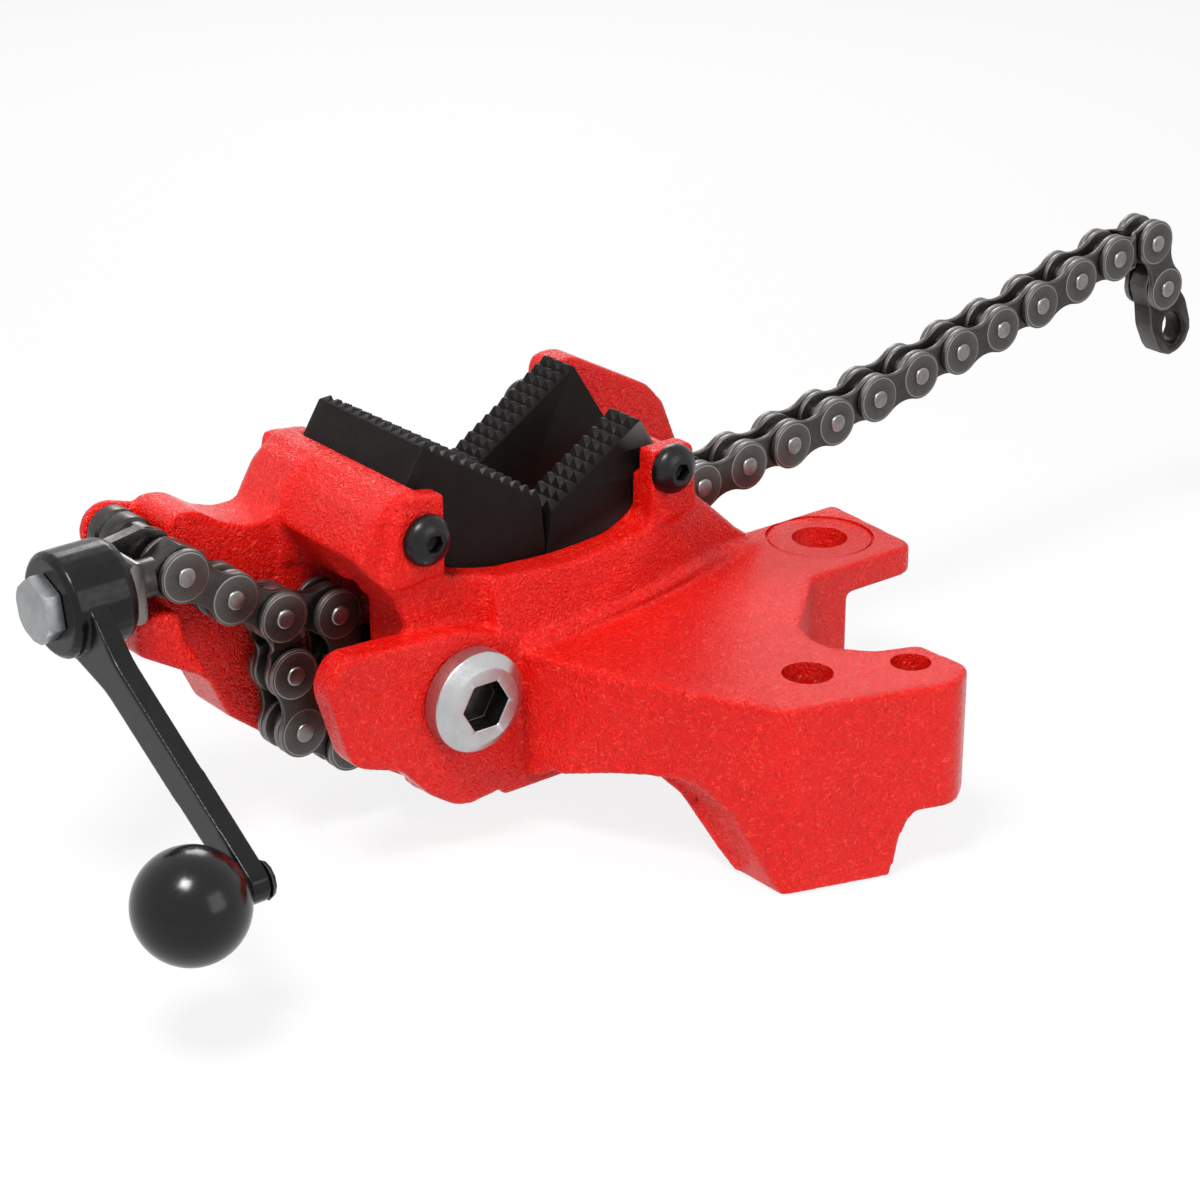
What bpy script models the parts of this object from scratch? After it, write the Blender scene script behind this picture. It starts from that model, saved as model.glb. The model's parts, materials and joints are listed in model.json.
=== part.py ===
# Chain pipe vise: cast base, V jaws, roller chain and crank-driven tension screw.
# Axes: X from the crank to the mounting ears, Y along the clamped pipe, Z up.
# The bench plane is z = 0. Local vise coordinates have their zero on the line of the jaw screws.
import bpy
import bmesh
import math
from mathutils import Matrix, Vector

MM = 0.001

# fits
FIT = 0.3 * MM
PIN_FIT = 0.25 * MM

# frame: the origin is the middle of the near foot's sole
SCREW_LINE_HEIGHT = 100.0 * MM
FOOT_X = 36.0 * MM
FOOT_Y = -117.0 * MM

# chain
PITCH = 19.05 * MM
PLATE_DISC = 16.0 * MM
PLATE_WAIST = 11.0 * MM
PLATE = 2.0 * MM
ROLLER = 11.0 * MM
ROLLER_LENGTH = 4.5 * MM
PIN = 5.9 * MM
PIN_HEAD_PROUD = 0.9 * MM
INNER_Y = ROLLER_LENGTH / 2
OUTER_Y = INNER_Y + PLATE + PIN_FIT
CHAIN_HALF = OUTER_Y + PLATE

DISC_STEPS = 6
PIN_STEPS = 10
CENTRE_HALF = 2.0 * MM
EYE_LINK_HALF = 4.0 * MM
EYE_HOLE_AT = 18.0 * MM
PULL_HEADINGS = (-35.5, -32.5)
TAKE_OFF_HEADINGS = (-12.27, -79.14, -5.64)
DROP_HEADINGS = (-82.0, -83.0, -30.0)
UNDER_COUNT = 8
FREE_START = (80.6 * MM, -23.2 * MM)
FREE_HEADINGS = (8, 8, 10, 12, 12, 13, 12, 14, 15, 13, 6, -69, -66)

# base casting
SADDLE_HALF = 30.0 * MM
SADDLE_FAR = 37.0 * MM
WALL = 9.0 * MM
CHANNEL_HALF = 9.5 * MM
RIB = 7.5 * MM
SHELF_Z = -41.0 * MM
SHELF_THICK = 9.5 * MM
TOE_STEP = 19.5 * MM
BENCH_Z = -SCREW_LINE_HEIGHT
NEAR_HOLE = (39.6 * MM, -102.0 * MM, 15.2 * MM)
CORNER_HOLE = (68.0 * MM, -115.0 * MM, 12.0 * MM)
FAR_HOLE = (111.5 * MM, -27.5 * MM, 17.8 * MM)
COUNTERBORE = 34.5 * MM
HORN_FAR = 31.0 * MM
HORN_TIP_NEAR = 28.0 * MM
HORN_TIP_FAR = 31.6 * MM
HORN_TIP = 16.6 * MM
HORN_LEDGE_NEAR = -4.0 * MM

# jaws
JAW_NEAR = 22.5 * MM
JAW_FAR = 30.0 * MM
JAW_ANGLE = math.radians(32.0)
VEE_X = 6.0 * MM
VEE_Z = -3.0 * MM
LEFT_JAW_LENGTH = 50.0 * MM
LEFT_JAW_DEPTH = 31.0 * MM
RIGHT_JAW_LENGTH = 40.0 * MM
RIGHT_JAW_DEPTH = 24.0 * MM
FAR_JAW_RAISE = 2.0 * MM
FAR_JAW_LENGTH = 46.0 * MM
JAW_FLOOR = -23.0 * MM
JAW_SLOT_NEAR = 9.2 * MM
JAW_SLOT_FAR = 16.0 * MM
TOOTH = 2.6 * MM
TOOTH_PITCH = 4.0 * MM

# jaw screws
JAW_SCREW_X = 45.2 * MM
JAW_SCREW_HEAD = 15.5 * MM
JAW_SCREW_HEAD_LENGTH = 5.2 * MM
JAW_SCREW_SHANK = 8.0 * MM
JAW_SCREW_REACH = 9.0 * MM
LUG_Y = 33.0 * MM
LUG_FAR = 39.0 * MM

# anchor pin
ANCHOR_X = -35.0 * MM
ANCHOR_Z = -50.0 * MM
ANCHOR_BORE_PLAY = 0.55 * MM
ANCHOR_HEAD = 31.0 * MM
ANCHOR_SHANK = 14.0 * MM
ANCHOR_HEAD_LENGTH = 9.0 * MM

# crank and tension screw
SCREW_TILT = math.radians(-0.7)
SCREW_DIA = 12.0 * MM
EYE_X = -107.8 * MM
EYE_Z = -3.9 * MM
SCREW_ZERO_X = -121.3 * MM
TRUNNION_X = -112.0 * MM
TRUNNION_Z = 0.5 * MM
JOURNAL = 8.0 * MM
BARREL = 15.2 * MM
JOURNAL_START = 8.3 * MM
CLIP_THICK = 1.4 * MM
CLIP_GROOVE = 1.1 * MM
EYE_HALF = 4.2 * MM
EYE_FLATS = 15.8 * MM
HUB_REACH = 12.5 * MM
BOLT_LENGTH = 6.0 * MM
STUD = 8.0 * MM
ARM_SETBACK = 4.0 * MM
HUB_FACE_X = -147.4 * MM
HUB_LENGTH = 20.0 * MM
HUB_NEAR = 30.6 * MM
HUB_FAR = 31.4 * MM
BOLT_FLATS = 17.0 * MM
BOLT_HEAD = 5.0 * MM
ARM_LENGTH = 100.0 * MM
BALL = 32.0 * MM
ARM_DROP = math.radians(31.0)
ARM_THICK = 6.0 * MM
ARM_WIDE = 12.4 * MM
ARM_NARROW = 10.6 * MM
ARM_FLARE = 12.0 * MM
SCREW_ZERO_Z = EYE_Z + (EYE_X - SCREW_ZERO_X) * math.tan(SCREW_TILT)


def clear_scene():
    for obj in list(bpy.data.objects):
        bpy.data.objects.remove(obj, do_unlink=True)
    for mesh in list(bpy.data.meshes):
        bpy.data.meshes.remove(mesh)


clear_scene()
scene = bpy.context.scene
vise = bpy.data.collections.new("chain_pipe_vise")
cutters = bpy.data.collections.new("cutters")
scene.collection.children.link(vise)
scene.collection.children.link(cutters)


def finish(name, colour, metallic, roughness):
    material = bpy.data.materials.new(name)
    material.use_nodes = True
    shader = material.node_tree.nodes["Principled BSDF"]
    shader.inputs["Base Color"].default_value = (*colour, 1.0)
    shader.inputs["Metallic"].default_value = metallic
    shader.inputs["Roughness"].default_value = roughness
    return material


ENAMEL = ("red_enamel", (0.78, 0.02, 0.01), 0.0, 0.35)
JAW_STEEL = ("black_oxide_jaw", (0.02, 0.02, 0.022), 0.6, 0.5)
SCREW_STEEL = ("black_screw", (0.015, 0.015, 0.016), 0.6, 0.4)
CHAIN_STEEL = ("chain_steel", (0.09, 0.088, 0.085), 0.9, 0.38)
BRIGHT_STEEL = ("bright_steel", (0.6, 0.6, 0.6), 1.0, 0.28)
CRANK_STEEL = ("crank_steel", (0.02, 0.02, 0.021), 0.5, 0.42)
BALL_PLASTIC = ("ball_plastic", (0.008, 0.008, 0.008), 0.0, 0.12)


def place_frame():
    frame = bpy.data.objects.new("vise_frame", None)
    frame.location = (-FOOT_X, -FOOT_Y, SCREW_LINE_HEIGHT)
    vise.objects.link(frame)
    return frame


vise_frame = place_frame()


def new_object(name, mesh, parent=vise_frame, where=vise):
    obj = bpy.data.objects.new(name, mesh)
    where.objects.link(obj)
    obj.parent = parent
    return obj


def dress(obj, material):
    obj.data.materials.clear()
    if material[0] not in bpy.data.materials:
        finish(*material)
    obj.data.materials.append(bpy.data.materials[material[0]])


def smooth(obj, on=True):
    for face in obj.data.polygons:
        face.use_smooth = on


def rounded(points, radii, steps=3):
    # A closed outline with each corner replaced by an arc of its own radius.
    out = []
    count = len(points)
    for i, point in enumerate(points):
        radius = radii[i] if isinstance(radii, (list, tuple)) else radii
        here = Vector(point)
        before = (Vector(points[i - 1]) - here)
        after = (Vector(points[(i + 1) % count]) - here)
        if radius <= 0:
            out.append(tuple(here))
            continue
        a, b = before.normalized(), after.normalized()
        half = a.angle(b) / 2
        reach = min(radius / math.tan(half), before.length * 0.49, after.length * 0.49)
        true_radius = reach * math.tan(half)
        centre = here + (a + b).normalized() * (true_radius / math.sin(half))
        first, last = here + a * reach - centre, here + b * reach - centre
        for k in range(steps + 1):
            share = k / steps
            spoke = first.lerp(last, share)
            spoke = spoke.normalized() * true_radius
            out.append(tuple(centre + spoke))
    return out


def outline_mesh(name, loops, depth):
    # A flat outline, with holes as further loops, thickened about its own plane.
    curve = bpy.data.curves.new(name, "CURVE")
    curve.dimensions = "2D"
    curve.fill_mode = "BOTH"
    curve.extrude = depth / 2
    for loop in loops:
        spline = curve.splines.new("POLY")
        spline.points.add(len(loop) - 1)
        for node, (x, y) in zip(spline.points, loop):
            node.co = (x, y, 0.0, 1.0)
        spline.use_cyclic_u = True
    holder = bpy.data.objects.new(name + "_curve", curve)
    cutters.objects.link(holder)
    graph = bpy.context.evaluated_depsgraph_get()
    mesh = bpy.data.meshes.new_from_object(holder.evaluated_get(graph))
    bpy.data.objects.remove(holder, do_unlink=True)
    work = bmesh.new()
    work.from_mesh(mesh)
    bmesh.ops.remove_doubles(work, verts=work.verts, dist=0.001 * MM)
    bmesh.ops.recalc_face_normals(work, faces=work.faces)
    work.to_mesh(mesh)
    work.free()
    mesh.name = name
    return mesh


# Outline (x, z) drawn in the XZ plane and thickened along Y, or (x, y) thickened along Z,
# or (y, z) thickened along X.
TO_XZ = Matrix.Rotation(math.radians(90.0), 4, "X")
TO_YZ = Matrix(((0, 0, 1, 0), (1, 0, 0, 0), (0, 1, 0, 0), (0, 0, 0, 1)))


def slab_y(name, loops, low, high):
    mesh = outline_mesh(name, loops, high - low)
    mesh.transform(Matrix.Translation((0, (low + high) / 2, 0)) @ TO_XZ)
    return mesh


def slab_z(name, loops, low, high):
    mesh = outline_mesh(name, loops, high - low)
    mesh.transform(Matrix.Translation((0, 0, (low + high) / 2)))
    return mesh


def slab_x(name, loops, low, high):
    mesh = outline_mesh(name, loops, high - low)
    mesh.transform(Matrix.Translation(((low + high) / 2, 0, 0)) @ TO_YZ)
    return mesh


def revolve(name, profile, segments, to=Matrix.Identity(4)):
    # Profile of (radius, height) spun about local Z, then turned by a matrix.
    work = bmesh.new()
    verts = [work.verts.new((r, 0, z)) for r, z in profile]
    edges = [work.edges.new(pair) for pair in zip(verts, verts[1:])]
    bmesh.ops.spin(work, geom=verts + edges, cent=(0, 0, 0), axis=(0, 0, 1),
                   angle=2 * math.pi, steps=segments, use_merge=True)
    bmesh.ops.remove_doubles(work, verts=work.verts, dist=0.001 * MM)
    bmesh.ops.recalc_face_normals(work, faces=work.faces)
    mesh = bpy.data.meshes.new(name)
    work.to_mesh(mesh)
    work.free()
    mesh.transform(to)
    return mesh


def along_y(x, y, z):
    return Matrix.Translation((x, y, z)) @ Matrix.Rotation(math.radians(90.0), 4, "X")


def along_x(x, y, z):
    return Matrix.Translation((x, y, z)) @ Matrix.Rotation(math.radians(90.0), 4, "Y")


def cylinder(name, radius, length, segments, to):
    return revolve(name, [(0, 0), (radius, 0), (radius, length), (0, length)], segments, to)


def combine(obj, mesh, operation):
    tool = bpy.data.objects.new(obj.name + "_tool", mesh)
    cutters.objects.link(tool)
    tool.parent = obj.parent
    tool.hide_render = True
    tool.display_type = "WIRE"
    modifier = obj.modifiers.new("join", "BOOLEAN")
    modifier.operation = operation
    modifier.solver = "EXACT"
    modifier.object = tool
    bpy.context.view_layer.update()
    graph = bpy.context.evaluated_depsgraph_get()
    result = bpy.data.meshes.new_from_object(obj.evaluated_get(graph))
    obj.modifiers.clear()
    obj.data = result
    bpy.data.objects.remove(tool, do_unlink=True)
    return obj


def add(obj, mesh):
    return combine(obj, mesh, "UNION")


def cut(obj, mesh):
    return combine(obj, mesh, "DIFFERENCE")


def keep(obj, mesh):
    return combine(obj, mesh, "INTERSECT")


def polar(count, radius, start=0.0):
    return [(radius * math.cos(start + 2 * math.pi * i / count),
             radius * math.sin(start + 2 * math.pi * i / count)) for i in range(count)]


def shifted(loop, dx, dz):
    return [(x + dx, z + dz) for x, z in loop]


def in_mm(*pairs):
    return [(a * MM, b * MM) for a, b in pairs]


# Base casting

def flange_outline():
    # Plan of the bolting flange: slanted front wall, near ear, notch, far ear.
    front = in_mm((-16, -20), (-15.5, -40), (-7, -64), (8, -98), (18, -118), (70, -134), (80, -127),
                  (79, -107))
    notch = in_mm((66, -102), (56, -90), (60, -76), (72, -65), (88, -51))
    ear = in_mm((131, -51), (134, -7), (98, -6), (60, -6))
    radii = [r * MM for r in (0, 8, 40, 60, 6, 8, 6, 3, 8, 10, 12, 12, 8, 5, 5, 3, 0)]
    return rounded(front + notch + ear, radii, 4)


def cavity_outline():
    points = in_mm((-4, -46), (2, -63), (17, -98), (25, -110), (68, -123), (70, -114), (52, -104), (46, -92),
                   (50, -72), (66, -57), (84, -42), (84, -28), (60, -39), (20, -46))
    return rounded(points, 4 * MM, 2)


def ear_under():
    return in_mm((109, 10), (150, 10), (150, -60), (97, -60), (104, -48), (109, -40))


def body_plan():
    # The body narrows towards its right end.
    points = in_mm((-72, -38), (-2, -38), (15, -37), (34, -34.5), (53, -30), (74, -22), (92, -15), (98, -6),
                   (98, 40), (-38, 40), (-50, 33.5), (-72, 33.5))
    return rounded(points, [r * MM for r in (0, 0, 30, 30, 20, 20, 10, 4, 0, 0, 0, 0)], 3)


def saddle_profile():
    points = in_mm((-67, -2), (-60.5, 9), (-53, 15), (-47, 15), (-30, -2), (40, -2), (46, 3), (54, 3),
                   (58, -12), (74, -25), (86, -35), (98, -43), (98, -84), (60, -87), (-36, -87), (-50, -78),
                   (-62, -60), (-67, -30))
    radii = [r * MM for r in (5, 6, 3, 0, 0, 0, 2, 3, 6, 20, 12, 2, 2, 10, 10, 8, 8, 8)]
    return rounded(points, radii, 3)


def arch_cut():
    # Everything under the flange walls: the arch, then the foot on the bench, then the raised toe.
    bench = BENCH_Z / MM
    toe = bench + TOE_STEP / MM
    return rounded(in_mm((-60, -87), (-26, -87), (-17, -84.5), (-12, -78), (-6, -73), (1, -70), (6, -70),
                         (11, -78), (15, -92), (18, bench), (18, bench - 20), (-60, bench - 20)),
                   [r * MM for r in (0, 6, 10, 20, 20, 8, 8, 8, 4, 3, 0, 0)], 3), \
        rounded(in_mm((51, bench - 20), (51, bench), (54, toe - 6), (57.5, toe), (92, toe), (92, bench - 20)),
                [r * MM for r in (0, 3, 6, 3, 2, 0)], 3)


def nose_outline():
    points = in_mm((-83, -36), (-77.5, -27), (-36, -29.3), (-16, -36.4), (-6.4, -60), (-14.3, -83.7), (-37, -86.4),
                   (-48, -79), (-58, -68), (-75, -62))
    return rounded(points, [r * MM for r in (9, 7, 8, 10, 10, 10, 14, 10, 10, 10)], 4)


def horn_outline():
    points = in_mm((-50, 14), (-58, 13), (-62, 8), (-68, -1.5), (-76, -1.5), (-84, 1), (-93, 7),
                   (-103.6, 8.5), (-104, -12), (-107, -14), (-123, -14), (-123.8, -25.5), (-108, -35), (-92, -47),
                   (-86, -60), (-72, -71), (-50, -80), (-30, -84), (-30, 0))
    radii = [r * MM for r in (2, 5, 4, 6, 6, 6, 6, 5, 3, 1.5, 2.5, 3, 8, 6, 6, 8, 8, 10, 4)]
    return rounded(points, radii, 3)


def horn_tip_outline():
    # The far side of the horn runs on past its thick part and ends round the trunnion's journal.
    radius = HORN_TIP / 2
    turn = [math.radians(85 + 190 * i / 12) for i in range(13)]
    tip = [(TRUNNION_X + radius * math.cos(a), TRUNNION_Z + radius * math.sin(a)) for a in turn]
    return in_mm((-88, -24), (-90, -1), (-99, 5)) + tip + in_mm((-102, -15))


def horn_ledge_outline():
    # A shelf under the screw's eye, clear of the first links when the chain is drawn.
    return rounded(in_mm((-122.4, -14.6), (-109, -14.6), (-107.6, -24), (-98.6, -39.5), (-108, -34.1), (-123, -25.1)),
                   [2.5 * MM, 2 * MM, 4 * MM, 2 * MM, 4 * MM, 3 * MM], 3)


def far_wall_outline():
    points = in_mm((41, -12), (45.5, 17), (55, 17), (84.6, 1), (91, -6), (97, -21), (102, -40), (97, -60),
                   (91, -85.3), (41, -85.3))
    radii = [r * MM for r in (0, 4, 6, 6, 5, 8, 8, 8, 6, 0)]
    return rounded(points, radii, 3)


def lug_outline(points):
    radii = [2.5 * MM] * 4
    return rounded([(x * MM, z * MM) for x, z in points], radii, 2)


LEFT_LUG = ((-53, 14), (-36.5, 12), (-35, -12), (-59, -14))
RIGHT_LUG = ((35, 6.5), (54, 6.5), (56, -16), (35, -18))


def rim_cut():
    # The front rim dips in an arc between the lugs.
    points = in_mm((-38, 60), (-38, -14), (-16, -19), (6, -20.5), (24, -19.5), (38, -17), (38, 60))
    return rounded(points, [0, 4 * MM, 20 * MM, 30 * MM, 20 * MM, 4 * MM, 0], 3)


def channel_cut():
    return in_mm((-140, -16), (-62, -16), (-48, -20), (-30, -36), (0, -42), (10, -26), (10, 60), (160, 60),
                 (160, -160), (-140, -160))


def slope_point(side, foot, along, depth):
    # A point of a jaw in XZ: along its toothed face from the vee, and depth below that face.
    c, s = math.cos(JAW_ANGLE), math.sin(JAW_ANGLE)
    return (foot[0] + side * (along * c + depth * s), foot[1] + along * s - depth * c)


def jaw_outline(side, foot, length, depth, spare=0.0):
    # A bar lying on the slope, cut upright at the vee and flat underneath.
    floor = JAW_FLOOR - spare
    c, s = math.cos(JAW_ANGLE), math.sin(JAW_ANGLE)
    top = slope_point(side, foot, length + spare, 0)
    heel = slope_point(side, foot, length + spare, depth + spare)
    run = (heel[1] - floor) / s
    toe = (heel[0] - side * run * c, floor)
    return [foot, top, heel, toe, (foot[0], floor)]


def pocket_side(side, foot, length, depth):
    # Heel and toe of a jaw's seat, under a flank that rises square to the jaw's end.
    points = jaw_outline(side, foot, length, depth, FIT)
    return [slope_point(side, foot, length + FIT, -60 * MM), points[2], points[3]]


def vee_pocket():
    left = pocket_side(-1, LEFT_FOOT, LEFT_JAW_LENGTH, LEFT_JAW_DEPTH)
    return left + pocket_side(1, RIGHT_FOOT, RIGHT_JAW_LENGTH, RIGHT_JAW_DEPTH)[::-1]


def far_pocket():
    # The far right jaw is longer than the near one.
    side = pocket_side(1, FAR_FOOT, FAR_JAW_LENGTH, RIGHT_JAW_DEPTH + FAR_JAW_RAISE)
    return [(VEE_X + 2 * MM, 55 * MM), *side, (VEE_X + 2 * MM, side[-1][1])]


LEFT_FOOT = (VEE_X - 0.4 * MM, -1.4 * MM)
RIGHT_FOOT = (VEE_X + 0.4 * MM, -6.0 * MM)
FAR_FOOT = (VEE_X + 0.4 * MM, -6.0 * MM + FAR_JAW_RAISE)


def build_base():
    base = new_object("base_casting", slab_z("base_casting", [flange_outline()], BENCH_Z, SHELF_Z))
    under, toe = arch_cut()
    cut(base, slab_y("arch", [under], -150 * MM, 0))
    cut(base, slab_y("toe", [toe], -150 * MM, -95 * MM))
    # The far ear is a plate with a leg under its inner end.
    cut(base, slab_z("ear_under", [ear_under()], BENCH_Z - 10 * MM, SHELF_Z - SHELF_THICK))
    cut(base, slab_z("cavity", [cavity_outline()], BENCH_Z - 10 * MM, SHELF_Z - SHELF_THICK))
    cut(base, slab_z("under", [in_mm((-30, 10), (-30, -62), (40, -62), (62, -74), (82, -52), (82, 10))],
                     BENCH_Z - 10 * MM, -86 * MM))
    body = new_object("body_blank", slab_y("body", [saddle_profile()], -SADDLE_HALF - 10 * MM, SADDLE_FAR))
    keep(body, slab_z("body_plan", [body_plan()], BENCH_Z, 60 * MM))
    # The near wall leans out from the rim down to the shelf; left of the flange it is upright.
    cut(body, slab_x("lean", [in_mm((-60, 60), (-32, 60), (-32, -14), (-38.5, -44), (-60, -44))], -24 * MM, 130 * MM))
    cut(body, slab_x("upright", [in_mm((-60, 60), (-31, 60), (-31, -110), (-60, -110))], -90 * MM, -22 * MM))
    cut(body, left_near_cut())
    add(base, body.data)
    bpy.data.objects.remove(body, do_unlink=True)
    add(base, slab_y("far_wall", [far_wall_outline()], JAW_FAR - 4 * MM, LUG_FAR - MM))
    add(base, slab_y("horn", [horn_outline()], CHANNEL_HALF + MM, HORN_FAR))
    add(base, slab_y("horn_tip", [horn_tip_outline()], HORN_TIP_NEAR, HORN_TIP_FAR))
    add(base, slab_y("nose", [nose_outline()], -38 * MM, -SADDLE_HALF + 6 * MM))
    for points in (LEFT_LUG, RIGHT_LUG):
        add(base, slab_y("lug", [lug_outline(points)], -LUG_Y, -SADDLE_HALF + 4 * MM))
        add(base, slab_y("lug", [lug_outline(points)], SADDLE_FAR - 5 * MM, LUG_FAR))
    # Hollow under the saddle, either side of the chain ribs.
    for side in (-1, 1):
        wall = (SADDLE_HALF if side < 0 else SADDLE_FAR) - WALL + 2 * MM
        low, high = sorted((side * (CHANNEL_HALF + RIB), side * wall))
        cut(base, slab_y("core", [core_outline()], low, high))
    cut(base, slab_y("channel", [channel_cut()], -CHANNEL_HALF, CHANNEL_HALF))
    cut(base, slab_y("left_gap", [left_gap()], -SADDLE_HALF + 2 * MM, CHANNEL_HALF - MM))
    add(base, slab_y("horn_ledge", [horn_ledge_outline()], HORN_LEDGE_NEAR, CHANNEL_HALF + 4 * MM))
    cut(base, slab_y("vee_pocket", [vee_pocket()], -JAW_NEAR - FIT, JAW_FAR + FIT))
    cut(base, slab_y("far_pocket", [shifted(far_pocket(), 0, 0.1 * MM)], 0, JAW_FAR + 2 * FIT))
    cut(base, slab_y("rim", [rim_cut()], -50 * MM, -JAW_NEAR + MM))
    cut(base, slab_y("rim", [rim_cut()], JAW_FAR - MM, 50 * MM))
    for x in (-JAW_SCREW_X, JAW_SCREW_X):
        cut(base, cylinder("screw_hole", JAW_SCREW_SHANK / 2 + FIT, 120 * MM, 12, along_y(x, 60 * MM, 0)))
    cut(base, cylinder("pin_hole", ANCHOR_SHANK / 2 + FIT, 120 * MM, 24, along_y(ANCHOR_X, 60 * MM, ANCHOR_Z)))
    cut(base, cylinder("journal_hole", JOURNAL / 2 + FIT, 60 * MM, 16, along_y(TRUNNION_X, 60 * MM, TRUNNION_Z)))
    for x, y, bore in (NEAR_HOLE, CORNER_HOLE, FAR_HOLE):
        cut(base, cylinder("ear_hole", bore / 2, 100 * MM, 24, Matrix.Translation((x, y, BENCH_Z - 5 * MM))))
    spot = Matrix.Translation((FAR_HOLE[0], FAR_HOLE[1], SHELF_Z - MM))
    cut(base, cylinder("counterbore", COUNTERBORE / 2, 10 * MM, 32, spot))
    dress(base, ENAMEL)
    return base


def left_near_cut():
    # The near left of the body slopes away so that the chain can swing up from the channel.
    return slab_y("near_slope", [in_mm((-100, 40), (-67.2, 40), (-67.2, -3), (-54, -18), (-50, -30),
                                       (-50, -100), (-100, -100))], -60 * MM, -CHANNEL_HALF)


def core_outline():
    return rounded(in_mm((-50, -120), (-50, -62), (-30, -38), (40, -38), (58, -50), (84, -78), (96, -88), (96, -120)),
                   3 * MM, 2)


def left_gap():
    # Room left of the body in front of the far wall, where the chain drops to the channel.
    return in_mm((-140, 30), (-67.5, 30), (-67.5, -2), (-56, -18), (-50, -24), (-48, -100), (-140, -100))


# Jaws

def jaw_mesh(name, side, foot, length, depth, low, high):
    # Pyramid teeth poked out of a grid on the sloping face, over a bar trimmed to the jaw's outline.
    rows = round(length / TOOTH_PITCH)
    columns = max(2, round((high - low) / TOOTH_PITCH))
    work = bmesh.new()
    bmesh.ops.create_grid(work, x_segments=rows, y_segments=columns, size=0.5)
    top = work.faces[:]
    bmesh.ops.transform(work, matrix=Matrix.Diagonal((length, high - low, 1, 1)), verts=work.verts)
    bmesh.ops.transform(work, matrix=Matrix.Translation((length / 2, 0, 0)), verts=work.verts)
    rim = bmesh.ops.extrude_face_region(work, geom=top)
    lower = [v for v in rim["geom"] if isinstance(v, bmesh.types.BMVert)]
    bmesh.ops.translate(work, vec=(0, 0, -(depth + 40 * MM)), verts=lower)
    vee_end = [v for v in lower if v.co.x < MM]
    bmesh.ops.translate(work, vec=(-1.2 * (depth + 40 * MM) * math.tan(JAW_ANGLE), 0, 0), verts=vee_end)
    bmesh.ops.dissolve_faces(work, faces=[f for f in rim["geom"] if isinstance(f, bmesh.types.BMFace)])
    bmesh.ops.recalc_face_normals(work, faces=work.faces)
    teeth = [f for f in work.faces if f.normal.z > 0.9 and f.calc_center_median().z > -MM]
    # The grid stands at the root of the teeth, so the tips reach the jaw line.
    bmesh.ops.translate(work, vec=(0, 0, -TOOTH), verts=list({v for f in teeth for v in f.verts}))
    bmesh.ops.poke(work, faces=teeth, offset=TOOTH)
    mesh = bpy.data.meshes.new(name)
    work.to_mesh(mesh)
    work.free()
    turn = Matrix.Rotation(-side * JAW_ANGLE, 4, "Y")
    mirror = Matrix.Diagonal((side, 1, 1, 1))
    mesh.transform(Matrix.Translation((foot[0], (low + high) / 2, foot[1])) @ turn @ mirror)
    if side < 0:
        mesh.flip_normals()
    return mesh


def build_jaw(name, side, foot, length, depth, low, high):
    jaw = new_object(name, jaw_mesh(name, side, foot, length, depth, low, high))
    # The trim stands clear of the bar's own end, so that only the vee, the back and the floor are cut.
    outline = jaw_outline(side, foot, length + MM, depth)
    lift = slope_point(side, foot, length + MM, -10 * MM)
    outline[0:2] = [(foot[0], foot[1] + 20 * MM), lift]
    keep(jaw, slab_y("jaw_bar", [outline], low - MM, high + MM))
    x = side * JAW_SCREW_X
    for y, start in ((-JAW_NEAR, low + JAW_SCREW_REACH), (JAW_FAR, high + MM)):
        if y in (low, high):
            cut(jaw, cylinder("tapped_hole", JAW_SCREW_SHANK / 2 + FIT, JAW_SCREW_REACH + MM, 12,
                              along_y(x, start, 0)))
    dress(jaw, JAW_STEEL)
    return jaw


def build_jaws():
    build_jaw("left_jaw", -1, LEFT_FOOT, LEFT_JAW_LENGTH, LEFT_JAW_DEPTH, -JAW_NEAR, JAW_FAR)
    build_jaw("right_jaw_near", 1, RIGHT_FOOT, RIGHT_JAW_LENGTH, RIGHT_JAW_DEPTH, -JAW_NEAR, -JAW_SLOT_NEAR)
    build_jaw("right_jaw_far", 1, FAR_FOOT, FAR_JAW_LENGTH, RIGHT_JAW_DEPTH + FAR_JAW_RAISE, JAW_SLOT_FAR, JAW_FAR)


def button_screw_mesh(name, side):
    # Domed head, shank and hexagon socket, head outwards on the given side.
    head, shank = JAW_SCREW_HEAD / 2, JAW_SCREW_SHANK / 2
    rise = JAW_SCREW_HEAD_LENGTH
    wall = LUG_Y - JAW_NEAR if side < 0 else LUG_FAR - JAW_FAR
    reach = wall + JAW_SCREW_REACH - 1.5 * MM
    dome = [(head * math.cos(a), rise * (0.25 + 0.75 * math.sin(a))) for a in
            [math.radians(d) for d in (0, 28, 56)]]
    profile = [(0, rise), *reversed(dome), (head, 0), (shank, 0), (shank, -reach + MM), (shank - MM, -reach),
               (0, -reach)]
    profile = [(r, -z) for r, z in reversed(profile)]
    turn = Matrix.Rotation(math.radians(90.0 * -side), 4, "X")
    return revolve(name, profile, 16, turn @ Matrix.Rotation(math.pi, 4, "X"))


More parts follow.
